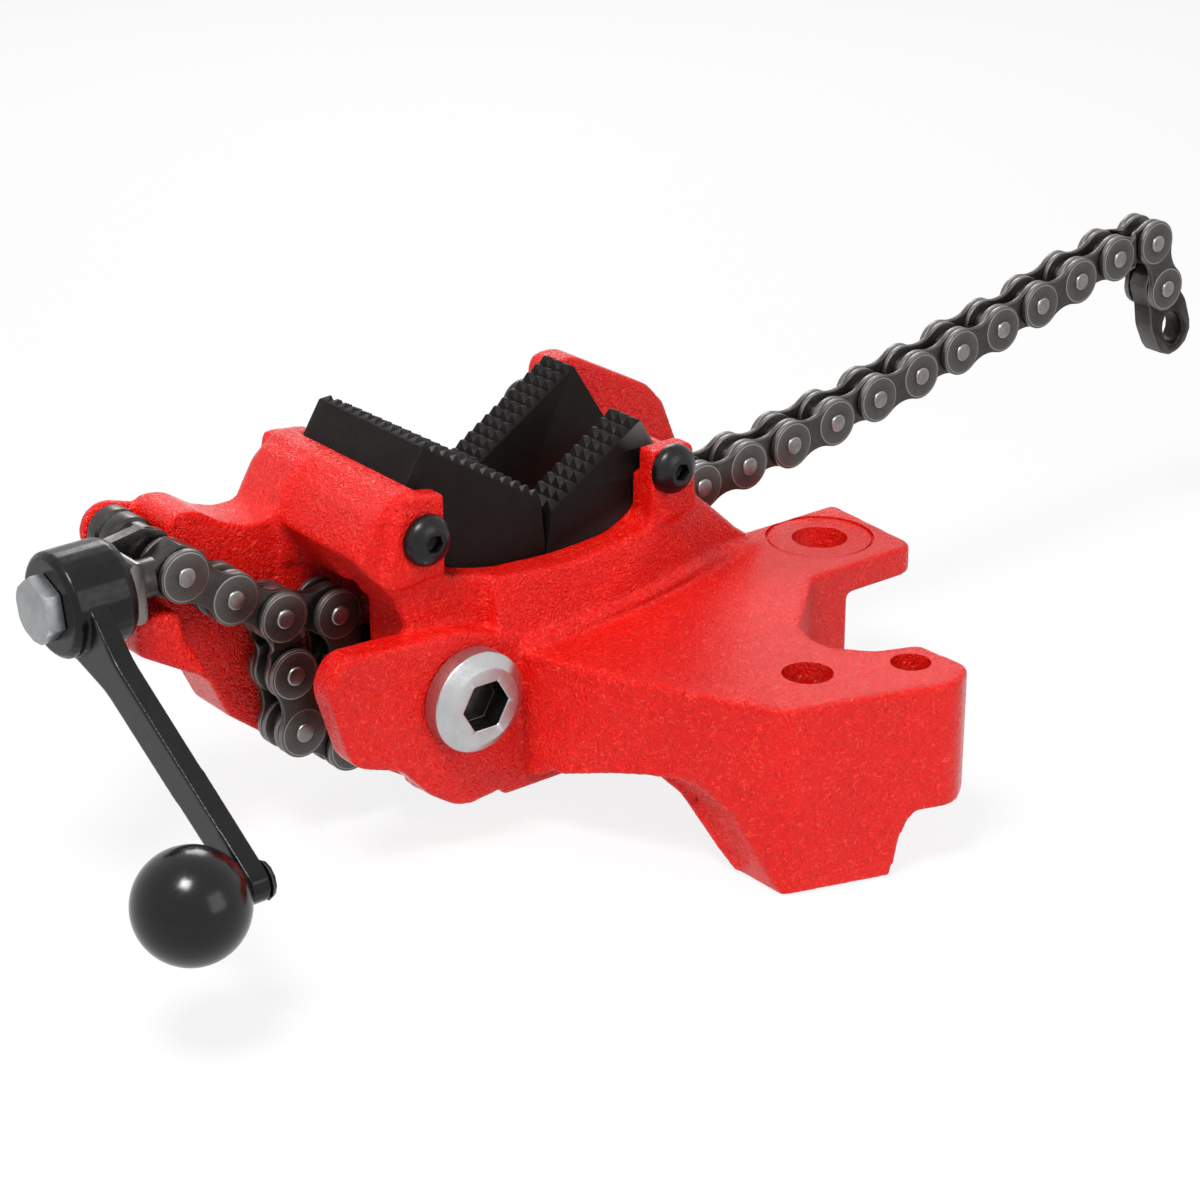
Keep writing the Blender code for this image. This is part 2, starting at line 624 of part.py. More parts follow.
def build_jaw_screws():
    for end, x in (("left", -JAW_SCREW_X), ("right", JAW_SCREW_X)):
        for place, side in (("near", -1), ("far", 1)):
            name = f"jaw_screw_{end}_{place}"
            screw = new_object(name, button_screw_mesh(name, side))
            screw.location = (x, -LUG_Y - FIT if side < 0 else LUG_FAR + FIT, 0)
            y_face = side * JAW_SCREW_HEAD_LENGTH
            loop = polar(6, 5.0 * MM / math.sqrt(3), math.pi / 6)
            low, high = sorted((y_face + side * MM, y_face - side * 3.2 * MM))
            cut_local(screw, slab_y("socket", [loop], low, high))
            smooth(screw)
            dress(screw, SCREW_STEEL)


def cut_local(obj, mesh):
    # The tool mesh is given in the object's own coordinates.
    mesh.transform(obj.matrix_basis)
    return cut(obj, mesh)


def build_anchor_pin():
    # Headed pin through the channel: hexagon socket in the near head, clip groove at the far end.
    head, shank = ANCHOR_HEAD / 2, ANCHOR_SHANK / 2
    groove = 38 * MM + FIT + SADDLE_FAR + FIT
    tail = groove + CLIP_THICK + 4 * MM
    chamfer = 2.2 * MM
    profile = [(0, -ANCHOR_HEAD_LENGTH), (head - 2 * chamfer, -ANCHOR_HEAD_LENGTH),
               (head - chamfer * 0.3, -ANCHOR_HEAD_LENGTH + chamfer), (head, -ANCHOR_HEAD_LENGTH + 1.6 * chamfer),
               (head, 0), (shank, 0), (shank, groove), (shank - CLIP_GROOVE, groove),
               (shank - CLIP_GROOVE, groove + CLIP_THICK + FIT), (shank, groove + CLIP_THICK + FIT),
               (shank, tail - MM), (shank - MM, tail), (0, tail)]
    pin = new_object("anchor_pin", revolve("anchor_pin", profile, 24, Matrix.Rotation(math.radians(-90.0), 4, "X")))
    pin.location = (ANCHOR_X, -38 * MM - FIT, ANCHOR_Z)
    cut_local(pin, slab_y("socket", [polar(6, 14.0 * MM / math.sqrt(3), math.pi / 6)],
                          -ANCHOR_HEAD_LENGTH - MM, -ANCHOR_HEAD_LENGTH + 7 * MM))
    smooth(pin)
    dress(pin, BRIGHT_STEEL)


# Chain

def waist_radius(disc, waist):
    # Radius of the hollow flank tangent to both discs of a link plate.
    return ((PITCH / 2) ** 2 + waist ** 2 - disc ** 2) / (2 * (disc - waist))


def plate_outline(start=PLATE_DISC / 2, end=PLATE_DISC / 2, steps=DISC_STEPS):
    # Figure-eight plate with its first pin at the origin and its second one pitch along +X.
    waist = PLATE_WAIST / 2
    points = []
    for centre, radius, side in ((0.0, start, -1), (PITCH, end, 1)):
        hollow = waist_radius(min(start, end), waist)
        reach = math.atan2(waist + hollow, PITCH / 2)
        first = -math.pi + reach if side > 0 else reach
        sweep = 2 * (math.pi - reach)
        points += [(centre + radius * math.cos(first + sweep * i / steps),
                    radius * math.sin(first + sweep * i / steps)) for i in range(steps + 1)]
        points.append((PITCH / 2, side * waist))
    return points


def ring(x, radius, steps=PIN_STEPS):
    return [(x + a, b) for a, b in polar(steps, radius)]


def shell(name, caps, walls):
    # Half a link on the far side of the chain's middle plane, closed by mirroring it over y = 0.
    # A cap is a height and its loops, the first one outside; a wall is a loop drawn from one height to another.
    work = bmesh.new()

    def loop_edges(loop, y):
        verts = [work.verts.new((x, y, z)) for x, z in loop]
        return [work.edges.new(pair) for pair in zip(verts, verts[1:] + verts[:1])]

    for y, loops in caps:
        bmesh.ops.triangle_fill(work, use_beauty=True, edges=[e for loop in loops for e in loop_edges(loop, y)])
    for loop, start, end in walls:
        grown = bmesh.ops.extrude_edge_only(work, edges=loop_edges(loop, start))
        moved = [v for v in grown["geom"] if isinstance(v, bmesh.types.BMVert)]
        bmesh.ops.translate(work, vec=(0, end - start, 0), verts=moved)
    bmesh.ops.mirror(work, geom=work.verts[:] + work.edges[:] + work.faces[:], axis="Y", merge_dist=0.001 * MM)
    bmesh.ops.remove_doubles(work, verts=work.verts, dist=0.001 * MM)
    bmesh.ops.recalc_face_normals(work, faces=work.faces)
    mesh = bpy.data.meshes.new(name)
    work.to_mesh(mesh)
    work.free()
    smooth_mesh(mesh)
    return mesh


def smooth_mesh(mesh):
    for face in mesh.polygons:
        face.use_smooth = abs(face.normal.y) < 0.9


def outer_link_mesh():
    # Two plates joined by the two pins riveted into them.
    outline, pins = plate_outline(), [ring(x, PIN / 2) for x in (0, PITCH)]
    head = CHAIN_HALF + PIN_HEAD_PROUD
    caps = [(CHAIN_HALF, [outline, *pins]), (OUTER_Y, [outline, *pins])] + [(head, [pin]) for pin in pins]
    walls = [(outline, CHAIN_HALF, OUTER_Y)]
    for pin in pins:
        walls += [(pin, CHAIN_HALF, head), (pin, OUTER_Y, 0)]
    return shell("outer_link", caps, walls)


def inner_link_mesh():
    # Two plates joined by the bushes, which carry the rollers.
    outline = plate_outline()
    bores = [ring(x, PIN / 2 + PIN_FIT) for x in (0, PITCH)]
    rollers = [ring(x, ROLLER / 2) for x in (0, PITCH)]
    side = INNER_Y + PLATE
    caps = [(side, [outline, *bores]), (INNER_Y, [outline, *rollers])]
    walls = [(outline, side, INNER_Y)] + [(roller, INNER_Y, 0) for roller in rollers]
    walls += [(bore, side, 0) for bore in bores]
    return shell("inner_link", caps, walls)


def pull_link_mesh():
    # Inner plates with a roller at the first pin only: the take-off link sits between them at the second.
    outline, side = plate_outline(), INNER_Y + PLATE
    bore, far_bore, roller = ring(0, PIN / 2 + PIN_FIT), ring(PITCH, PIN / 2 + PIN_FIT), ring(0, ROLLER / 2)
    caps = [(side, [outline, bore, far_bore]), (INNER_Y, [outline, roller, far_bore])]
    walls = [(outline, side, INNER_Y), (roller, INNER_Y, 0), (bore, side, 0), (far_bore, side, INNER_Y)]
    return shell("pull_link", caps, walls)


def cranked_link_mesh():
    # Plates outside at the first pin, stepping in to lie inside at the second.
    outline = plate_outline()
    waist = outline[DISC_STEPS + 1][1]
    first, last = PITCH * 0.44, PITCH * 0.56
    near_loop = outline[:DISC_STEPS + 1] + [(first, waist), (first, -waist)]
    far_loop = outline[DISC_STEPS + 2:-1] + [(last, -waist), (last, waist)]
    bridge = [(first, waist), (last, waist), (last, -waist), (first, -waist)]
    rim = [near_loop[:-2] + [(first, waist), (last, waist)], far_loop[:-2] + [(last, -waist), (first, -waist)]]
    rim = rim[0] + rim[1]
    pin, bore, roller = ring(0, PIN / 2), ring(PITCH, PIN / 2 + PIN_FIT), ring(PITCH, ROLLER / 2)
    head = CHAIN_HALF + PIN_HEAD_PROUD
    caps = [(CHAIN_HALF, [near_loop, pin]), (CHAIN_HALF, [bridge]), (CHAIN_HALF, [far_loop, bore]),
            (OUTER_Y, [near_loop, pin]), (OUTER_Y, [bridge]), (OUTER_Y, [far_loop, roller]), (head, [pin])]
    walls = [(rim, CHAIN_HALF, OUTER_Y), (pin, CHAIN_HALF, head), (pin, OUTER_Y, 0), (roller, OUTER_Y, 0),
             (bore, CHAIN_HALF, 0)]
    mesh = shell("cranked_link", caps, walls)
    step = OUTER_Y - INNER_Y
    for vertex in mesh.vertices:
        if abs(vertex.co.y) > INNER_Y and vertex.co.x > PITCH / 2:
            vertex.co.y -= math.copysign(step, vertex.co.y)
    return mesh


def centre_link_mesh():
    # The take-off link between the plates of the link that it hangs from.
    outline, bores = plate_outline(), [ring(x, PIN / 2 + PIN_FIT) for x in (0, PITCH)]
    return shell("centre_link", [(CENTRE_HALF, [outline, *bores])],
                 [(outline, CENTRE_HALF, 0)] + [(bore, CENTRE_HALF, 0) for bore in bores])


def anchor_link_mesh():
    # Inner plates that grow into a long eye round the anchor pin.
    eye = ANCHOR_SHANK / 2 + 4.0 * MM
    outline = plate_outline(end=eye)
    bore, roller = ring(0, PIN / 2 + PIN_FIT), ring(0, ROLLER / 2)
    hole = ring(PITCH, ANCHOR_SHANK / 2 + ANCHOR_BORE_PLAY, 16)
    boss = ring(PITCH, eye - 0.8 * MM, 16)
    side = INNER_Y + PLATE
    caps = [(side, [outline, bore, hole]), (INNER_Y, [outline, roller, boss])]
    walls = [(outline, side, INNER_Y), (roller, INNER_Y, 0), (boss, INNER_Y, 0), (bore, side, 0), (hole, side, 0)]
    return shell("anchor_link", caps, walls)


def eye_link_mesh():
    # Solid end link with the oval eye that a hook or finger takes.
    half = EYE_LINK_HALF
    outline = rounded([(-8.0 * MM, -7.5 * MM), (4 * MM, -7.5 * MM), (12 * MM, -9.5 * MM), (28 * MM, -8.5 * MM),
                       (28 * MM, 8.5 * MM), (12 * MM, 9.5 * MM), (4 * MM, 7.5 * MM), (-8.0 * MM, 7.5 * MM)],
                      [7 * MM, 8 * MM, 10 * MM, 8 * MM, 8 * MM, 10 * MM, 8 * MM, 7 * MM], 3)
    oval = [(EYE_HOLE_AT + 6.5 * MM * math.cos(t), 4.6 * MM * math.sin(t))
            for t in [2 * math.pi * i / 16 for i in range(16)]]
    return shell("chain_end_eye", [(half, [outline, ring(0, PIN / 2 + PIN_FIT), oval])],
                 [(loop, half, 0) for loop in (outline, ring(0, PIN / 2 + PIN_FIT), oval)])


def place_link(name, mesh, pin, nxt, parent=None):
    link = new_object(name, mesh, parent or vise_frame)
    turn = math.atan2(nxt[1] - pin[1], nxt[0] - pin[0])
    if parent is None:
        link.location = (pin[0], 0, pin[1])
        link.rotation_euler = (0, -turn, 0)
    if not mesh.materials:
        dress(link, CHAIN_STEEL)
    return link


def step_from(pin, degrees, length=PITCH):
    a = math.radians(degrees)
    return (pin[0] + length * math.cos(a), pin[1] + length * math.sin(a))


def run_of(start, headings):
    points = [start]
    for heading in headings:
        points.append(step_from(points[-1], heading))
    return points


def sagging_run(start, end, count):
    # Equal chords of one circle hung between two pins: the turn per link is found by halving.
    span = math.dist(start, end)
    low, high = 1e-4, math.pi / count
    for _ in range(50):
        turn = (low + high) / 2
        reach = PITCH * math.sin(count * turn / 2) / math.sin(turn / 2)
        low, high = (turn, high) if reach > span else (low, turn)
    line = math.degrees(math.atan2(end[1] - start[1], end[0] - start[0]))
    first = line - math.degrees(turn) * (count - 1) / 2
    return run_of(start, [first + math.degrees(turn) * i for i in range(count - 1)]) + [end]


def build_chain():
    outer, inner = outer_link_mesh(), inner_link_mesh()
    cranked, centre = cranked_link_mesh(), centre_link_mesh()
    eye, pull = (EYE_X, EYE_Z), run_of((EYE_X, EYE_Z), PULL_HEADINGS)
    place_link("pull_link_1", outer, pull[0], pull[1])
    place_link("pull_link_2", pull_link_mesh(), pull[1], pull[2])
    knee = pull[2]
    # Take-off to the anchor pin.
    take_off = run_of(knee, TAKE_OFF_HEADINGS)
    place_link("anchor_chain_link_1", centre, take_off[0], take_off[1])
    place_link("anchor_chain_link_2", outer, take_off[1], take_off[2])
    place_link("anchor_chain_link_3", anchor_link_mesh(), take_off[2], take_off[3])
    # Down into the channel and under the vee.
    drop = run_of(knee, DROP_HEADINGS)
    place_link("channel_link_01", cranked, drop[0], drop[1])
    place_link("channel_link_02", outer, drop[1], drop[2])
    place_link("channel_link_03", inner, drop[2], drop[3])
    under = sagging_run(drop[3], FREE_START, UNDER_COUNT)
    for i in range(UNDER_COUNT):
        place_link(f"channel_link_{i + 4:02d}", (outer, inner)[i % 2], under[i], under[i + 1])
    # Free run.
    free = run_of(FREE_START, FREE_HEADINGS)
    kinds = [outer, inner] * 5 + [cranked, outer]
    for i, kind in enumerate(kinds):
        place_link(f"free_link_{i + 1:02d}", kind, free[i], free[i + 1])
    place_link("chain_end_eye", eye_link_mesh(), free[-2], free[-1])
    return under, free


# Crank, trunnion and screw. Each stands in the tilted frame of the screw.

def build_screw_group():
    pivot = bpy.data.objects.new("screw_axis", None)
    vise.objects.link(pivot)
    pivot.parent = vise_frame
    pivot.location = (SCREW_ZERO_X, 0, SCREW_ZERO_Z)
    pivot.rotation_euler = (0, SCREW_TILT, 0)
    build_trunnion(pivot)
    build_eye_screw(pivot)
    build_crank(pivot)
    return pivot


def hexagon(across, start=0.0):
    return polar(6, across / math.sqrt(3), start)


def build_trunnion(pivot):
    # Thrust plate behind the crank's hub, joined past the links to a barrel that sits in the horn's tip.
    left = HUB_FACE_X - SCREW_ZERO_X + HUB_LENGTH + FIT
    right = -0.8 * MM
    axis_x = (TRUNNION_X - SCREW_ZERO_X) / math.cos(SCREW_TILT)
    axis_z = TRUNNION_Z - SCREW_ZERO_Z
    barrel, neck, radius = BARREL / 2, BARREL / 2 - MM, JOURNAL / 2
    plate = rounded([(left, -9 * MM), (right, -9 * MM), (right, 9.5 * MM), (left, 9.5 * MM)], 2.5 * MM, 3)
    trunnion = new_object("trunnion", slab_y("trunnion", [plate], -9 * MM, JOURNAL_START + 4.2 * MM), pivot)
    web = rounded([(left + MM, -8 * MM), (axis_x, axis_z - neck), (axis_x + barrel, axis_z - 3.6 * MM),
                   (axis_x + barrel, axis_z + 3.6 * MM), (axis_x, axis_z + neck), (left + MM, 9 * MM)], 2 * MM, 3)
    add(trunnion, slab_y("web", [web], JOURNAL_START, JOURNAL_START + 4.2 * MM - FIT))
    tail, groove, shoulder = HORN_TIP_FAR + 5 * MM, HORN_TIP_FAR + FIT, HORN_TIP_NEAR - FIT
    profile = [(0, JOURNAL_START + MM), (neck, JOURNAL_START + MM), (neck, shoulder - 13 * MM),
               (barrel, shoulder - 12.4 * MM), (barrel, shoulder - 7 * MM), (neck, shoulder - 6.4 * MM),
               (neck, shoulder - 5.2 * MM), (barrel, shoulder - 4.6 * MM), (barrel, shoulder - 0.5 * MM),
               (barrel - 0.5 * MM, shoulder), (radius, shoulder), (radius, groove), (radius - CLIP_GROOVE, groove),
               (radius - CLIP_GROOVE, groove + CLIP_THICK + FIT), (radius, groove + CLIP_THICK + FIT),
               (radius, tail - MM), (radius - MM, tail), (0, tail)]
    turn = Matrix.Translation((axis_x, 0, axis_z)) @ Matrix.Rotation(math.radians(-90.0), 4, "X")
    add(trunnion, revolve("barrel", profile, 20, turn))
    cut(trunnion, cylinder("bore", SCREW_DIA / 2 + FIT, 30 * MM, 16, along_x(-20 * MM, 0, 0)))
    smooth_mesh(trunnion.data)
    dress(trunnion, CHAIN_STEEL)


def build_eye_screw(pivot):
    # Screw shank with a forged hexagonal eye that takes the first chain pin.
    x = (EYE_X - SCREW_ZERO_X) / math.cos(SCREW_TILT)
    neck = x - EYE_FLATS / 2
    shank = cylinder("eye_screw", SCREW_DIA / 2, neck + HUB_REACH + MM, 16, along_x(-HUB_REACH, 0, 0))
    screw = new_object("eye_screw", shank, pivot)
    block = rounded([(x + a, b) for a, b in polar(6, EYE_FLATS / math.sqrt(3), math.pi / 6)], 1.2 * MM, 2)
    add(screw, slab_y("eye", [block], -EYE_HALF, EYE_HALF))
    # The shank is flatted where the plates of the first link pass beside it.
    room = [(neck - MM, -20 * MM), (x + 20 * MM, -20 * MM), (x + 20 * MM, 20 * MM), (neck - MM, 20 * MM)]
    for side in (-1, 1):
        cut(screw, slab_y("flat", [room], *sorted((side * EYE_HALF, side * 20 * MM))))
    cut(screw, cylinder("bore", PIN / 2 + PIN_FIT, 40 * MM, PIN_STEPS, along_y(x, 20 * MM, 0)))
    smooth_mesh(screw.data)
    dress(screw, CHAIN_STEEL)


def build_crank(pivot):
    face = HUB_FACE_X - SCREW_ZERO_X
    near, far = HUB_NEAR / 2, HUB_FAR / 2
    bore = SCREW_DIA / 2 + FIT
    profile = [(bore, 0), (near - 1.5 * MM, 0), (near, 1.5 * MM), (far - 0.4 * MM, HUB_LENGTH - 2.5 * MM),
               (far - 1.6 * MM, HUB_LENGTH), (bore, HUB_LENGTH), (bore, 0)]
    crank = new_object("crank_handle", revolve("crank_handle", profile, 32, along_x(face, 0, 0)), pivot)
    # Arm in the plane of the hub's outer face, drawn along +Y and then swung down.
    wide, narrow, end = ARM_WIDE / 2, ARM_NARROW / 2, ARM_LENGTH
    flare = ARM_FLARE
    arm = rounded([(5 * MM, -flare), (far - 2 * MM, -flare + 2 * MM), (far + 12 * MM, -wide), (end + narrow, -narrow),
                   (end + narrow, narrow), (far + 12 * MM, wide), (far - 2 * MM, flare - 2 * MM), (5 * MM, flare)],
                  [0, 10 * MM, 24 * MM, narrow * 0.95, narrow * 0.95, 24 * MM, 10 * MM, 0], 3)
    swing = Matrix.Rotation(math.pi + ARM_DROP, 4, "X")
    beam = slab_x("arm", [arm], face + ARM_SETBACK, face + ARM_SETBACK + ARM_THICK)
    beam.transform(swing)
    add(crank, beam)
    cut(crank, cylinder("bore", bore, HUB_LENGTH + 10 * MM, 20, along_x(face - 5 * MM, 0, 0)))
    stud_at = swing @ Vector((0, end, 0))
    cut(crank, cylinder("stud_hole", STUD / 2 + FIT, 40 * MM, 16, along_x(face - 10 * MM, stud_at.y, stud_at.z)))
    smooth_mesh(crank.data)
    dress(crank, CRANK_STEEL)
    build_crank_bolt(pivot, face)
    build_ball(pivot, face, stud_at)


def build_crank_bolt(pivot, face):
    across, head = BOLT_FLATS, BOLT_HEAD
    bolt = new_object("crank_bolt", slab_x("crank_bolt", [hexagon(across, math.radians(20))],
                                           face - FIT - head, face - FIT), pivot)
    dome = [(0, face - FIT - head - MM), (across * 0.46, face - FIT - head - MM),
            (across * 0.60, face - FIT - head + 1.4 * MM), (across * 0.60, face), (0, face)]
    keep(bolt, revolve("chamfer", dome, 32, along_x(0, 0, 0)))
    add(bolt, cylinder("shank", SCREW_DIA / 2, BOLT_LENGTH + MM, 20, along_x(face - FIT - MM, 0, 0)))
    smooth_mesh(bolt.data)
    dress(bolt, BRIGHT_STEEL)


def build_ball(pivot, face, stud_at):
    # Ball on a stud riveted into the end of the arm.
    radius = BALL / 2
    flat_radius = 5.5 * MM
    flat = math.sqrt(radius ** 2 - flat_radius ** 2)
    centre = face + ARM_SETBACK - FIT - flat
    steps = 12
    curve = [(radius * math.sin(math.pi * i / steps), -radius * math.cos(math.pi * i / steps))
             for i in range(steps + 1)]
    curve = [p for p in curve if p[1] < flat - 0.5 * MM] + [(flat_radius, flat), (0, flat)]
    ball = new_object("ball_knob", revolve("ball_knob", curve, 24, along_x(centre, stud_at.y, stud_at.z)), pivot)
    cut(ball, cylinder("tapped", STUD / 2 + FIT, radius + 10 * MM, 12, along_x(centre, stud_at.y, stud_at.z)))
    smooth(ball)
    dress(ball, BALL_PLASTIC)
    start, end = centre + FIT, face + ARM_SETBACK + ARM_THICK
    r, head = STUD / 2, STUD / 2 + 1.8 * MM
    profile = [(0, start), (r - MM, start), (r, start + MM), (r, end + FIT), (head, end + FIT),
               (head - 0.8 * MM, end + 1.8 * MM), (0, end + 1.8 * MM)]
    stud = new_object("knob_stud", revolve("knob_stud", profile, 12, along_x(0, stud_at.y, stud_at.z)), pivot)
    smooth_mesh(stud.data)
    dress(stud, CRANK_STEEL)


def build_rings():
    # Spring clips in the grooves of the anchor pin and of the trunnion's journal.
    clip("anchor_clip", ANCHOR_SHANK / 2, (ANCHOR_X, SADDLE_FAR + FIT + FIT / 2 + CLIP_THICK / 2, ANCHOR_Z))
    clip("trunnion_clip", JOURNAL / 2, (TRUNNION_X, HORN_TIP_FAR + FIT + FIT / 2 + CLIP_THICK / 2, TRUNNION_Z))


def clip(name, shank, at):
    inner, outer = shank - CLIP_GROOVE + FIT, shank + 2.4 * MM
    gap = math.radians(28)
    turns = [gap + (2 * math.pi - 2 * gap) * i / 18 for i in range(19)]
    loop = [(outer * math.cos(a), outer * math.sin(a)) for a in turns]
    loop += [(inner * math.cos(a), inner * math.sin(a)) for a in reversed(turns)]
    ring = new_object(name, slab_y(name, [loop], -CLIP_THICK / 2, CLIP_THICK / 2))
    ring.location = at
    dress(ring, CRANK_STEEL)


build_jaws()
build_jaw_screws()
build_anchor_pin()
base_casting = build_base()
under_pins, free_pins = build_chain()
screw_pivot = build_screw_group()
build_rings()
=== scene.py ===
import json
import math

import bmesh
import bpy
from mathutils import Matrix, Vector


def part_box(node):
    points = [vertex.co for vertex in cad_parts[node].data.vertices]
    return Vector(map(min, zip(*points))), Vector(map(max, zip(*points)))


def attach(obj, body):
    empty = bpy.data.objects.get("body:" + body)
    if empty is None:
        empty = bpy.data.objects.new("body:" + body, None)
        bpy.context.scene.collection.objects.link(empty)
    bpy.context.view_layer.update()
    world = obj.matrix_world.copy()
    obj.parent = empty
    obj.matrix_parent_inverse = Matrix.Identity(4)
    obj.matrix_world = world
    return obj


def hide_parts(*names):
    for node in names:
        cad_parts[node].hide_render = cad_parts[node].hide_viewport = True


mm = 0.001
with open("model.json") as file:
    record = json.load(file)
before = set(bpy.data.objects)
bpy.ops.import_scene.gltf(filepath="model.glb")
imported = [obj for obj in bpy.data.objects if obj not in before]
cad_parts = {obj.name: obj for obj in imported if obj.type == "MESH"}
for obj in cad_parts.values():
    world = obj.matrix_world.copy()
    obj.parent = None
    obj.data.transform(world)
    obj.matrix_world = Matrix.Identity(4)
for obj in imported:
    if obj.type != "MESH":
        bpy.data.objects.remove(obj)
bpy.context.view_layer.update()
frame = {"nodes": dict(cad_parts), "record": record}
print("frame loaded")

# The vise's own zero: middle of the vee, chain plane, height of the jaw screws.
viseZero = Vector((-36 * mm, 117 * mm, 100 * mm))
joints = {joint["name"]: joint for joint in frame["record"]["behaviour"]["joints"]}


def toLinear(hexCode):
    channels = [int(hexCode[i:i + 2], 16) / 255 for i in (1, 3, 5)]
    return tuple(c / 12.92 if c <= 0.04045 else ((c + 0.055) / 1.055) ** 2.4 for c in channels) + (1.0,)


def addNode(tree, kind, settings=(), inputs=(), links=()):
    # One node, its properties, its socket values, and links given as (its input, source node, source output).
    node = tree.nodes.new(kind)
    for name, value in dict(settings).items():
        setattr(node, name, value)
    for name, value in dict(inputs).items():
        node.inputs[name].default_value = value
    for name, source, output in links:
        tree.links.new(source.outputs[output], node.inputs[name])
    return node


def newMaterial(name, sockets):
    material = bpy.data.materials.new(name)
    material.use_nodes = True
    tree = material.node_tree
    shader = tree.nodes["Principled BSDF"]
    for socket, value in sockets.items():
        shader.inputs[socket].default_value = value
    place = addNode(tree, "ShaderNodeTexCoord")
    return material, tree, shader, place


def noiseAt(tree, place, grainMm, detail=2.0, rough=0.5):
    # A noise whose features are about grainMm across.
    return addNode(tree, "ShaderNodeTexNoise", {},
                   {"Scale": 1 / (grainMm * mm), "Detail": detail, "Roughness": rough},
                   [("Vector", place, "Object")])


def rampOf(tree, source, output, stops):
    ramp = addNode(tree, "ShaderNodeValToRGB", {}, {}, [("Fac", source, output)])
    elements = ramp.color_ramp.elements
    while len(elements) < len(stops):
        elements.new(0.5)
    for element, (position, colour) in zip(elements, stops):
        element.position = position
        element.color = colour
    return ramp


def greyStops(low, high, start=0.3, end=0.7):
    return [(start, (low, low, low, 1)), (end, (high, high, high, 1))]


# The wrinkle's two extra reds are painted shade in its hollows and painted highlight on its crests.
enamelLook = {"red": "#E8130A", "deepRed": "#DC0E07", "paintedShadeRed": "#CC0A04", "paintedHighlightRed": "#F83A28",
              "shine": 0.22, "roughness": (0.12, 0.24), "broadMm": 45, "sandMm": 0.7, "sandDepthMm": 0.2,
              "wrinkleMm": 1.7, "wrinkleDepthMm": 1.2, "waviness": 1.8, "paintedShadeEnds": (0.3, 0.46),
              "paintedHighlightEnds": (0.56, 0.72)}


def redEnamel():
    # Gloss enamel sprayed over rough sand-cast iron: a wet red skin that still shows the sand's grain.
    look = enamelLook
    material, tree, shader, place = newMaterial("glossEnamelOnCastIron", {
        "Metallic": 0.0, "IOR": 1.5, "Specular IOR Level": look["shine"]})
    broad = noiseAt(tree, place, look["broadMm"])
    colour = rampOf(tree, broad, "Fac", [(0.35, toLinear(look["deepRed"])), (0.65, toLinear(look["red"]))])
    # Short wavy wrinkles: their crests get a paler red as painted highlight, and the hollows between them a deeper
    # red as painted shade.
    wrinkle = noiseAt(tree, place, look["wrinkleMm"])
    wrinkle.inputs["Distortion"].default_value = look["waviness"]
    low = rampOf(tree, wrinkle, "Fac", greyStops(1, 0, *look["paintedShadeEnds"]))
    high = rampOf(tree, wrinkle, "Fac", greyStops(0, 1, *look["paintedHighlightEnds"]))
    # Painted shade: the wrinkle's hollows blend towards the darker red.
    thick = addNode(tree, "ShaderNodeMix", {"data_type": "RGBA"}, {}, [(0, low, "Color"), (6, colour, "Color")])
    thick.inputs[7].default_value = toLinear(look["paintedShadeRed"])
    # Painted highlight: the wrinkle's crests blend towards the paler red.
    thin = addNode(tree, "ShaderNodeMix", {"data_type": "RGBA"}, {}, [(0, high, "Color"), (6, thick, 2)])
    thin.inputs[7].default_value = toLinear(look["paintedHighlightRed"])
    tree.links.new(thin.outputs[2], shader.inputs["Base Color"])
    gloss = rampOf(tree, wrinkle, "Fac", greyStops(*look["roughness"]))
    tree.links.new(gloss.outputs["Color"], shader.inputs["Roughness"])
    # The finer grain of the sand lies under the wrinkles.
    fine = noiseAt(tree, place, look["sandMm"])
    sand = addNode(tree, "ShaderNodeBump", {}, {"Strength": 0.6, "Distance": look["sandDepthMm"] * mm},
                   [("Height", fine, "Fac")])
    skin = addNode(tree, "ShaderNodeBump", {}, {"Strength": 0.8, "Distance": look["wrinkleDepthMm"] * mm},
                   [("Height", wrinkle, "Fac"), ("Normal", sand, "Normal")])
    tree.links.new(skin.outputs["Normal"], shader.inputs["Normal"])
    return material


def wornSteel(name, body, edgeWearAndHighlightTone, metallic, roughness, wearStart=0.53, wearEnd=0.6, grainMm=1.2, depthMm=0.05,
              patchMm=6.0, patchShare=0.35, shine=0.5):
    # Steel with a dark skin that has rubbed through to a paler tone along its edges and tips.
    material, tree, shader, place = newMaterial(name, {"Metallic": metallic, "Specular IOR Level": shine})
    patches = noiseAt(tree, place, patchMm, 4, 0.6)
    shade = tuple(c * (1 - patchShare) for c in toLinear(body)[:3]) + (1.0,)
    skin = rampOf(tree, patches, "Fac", [(0.35, shade), (0.65, toLinear(body))])
    edge = addNode(tree, "ShaderNodeNewGeometry")
    # Pale tone on edges and tips: rubbed wear, and on the crank also painted highlight along the edges.
    edgeWearAndPaintedHighlight = rampOf(tree, edge, "Pointiness", greyStops(0, 1, wearStart, wearEnd))
    mix = addNode(tree, "ShaderNodeMix", {"data_type": "RGBA"}, {}, [(0, edgeWearAndPaintedHighlight, "Color"), (6, skin, "Color")])
    mix.inputs[7].default_value = toLinear(edgeWearAndHighlightTone)
    tree.links.new(mix.outputs[2], shader.inputs["Base Color"])
    grain = noiseAt(tree, place, grainMm, 3)
    gloss = rampOf(tree, grain, "Fac", greyStops(*roughness))
    tree.links.new(gloss.outputs["Color"], shader.inputs["Roughness"])
    bump = addNode(tree, "ShaderNodeBump", {}, {"Strength": 0.4, "Distance": depthMm * mm},
                   [("Height", grain, "Fac")])
    tree.links.new(bump.outputs["Normal"], shader.inputs["Normal"])
    return material


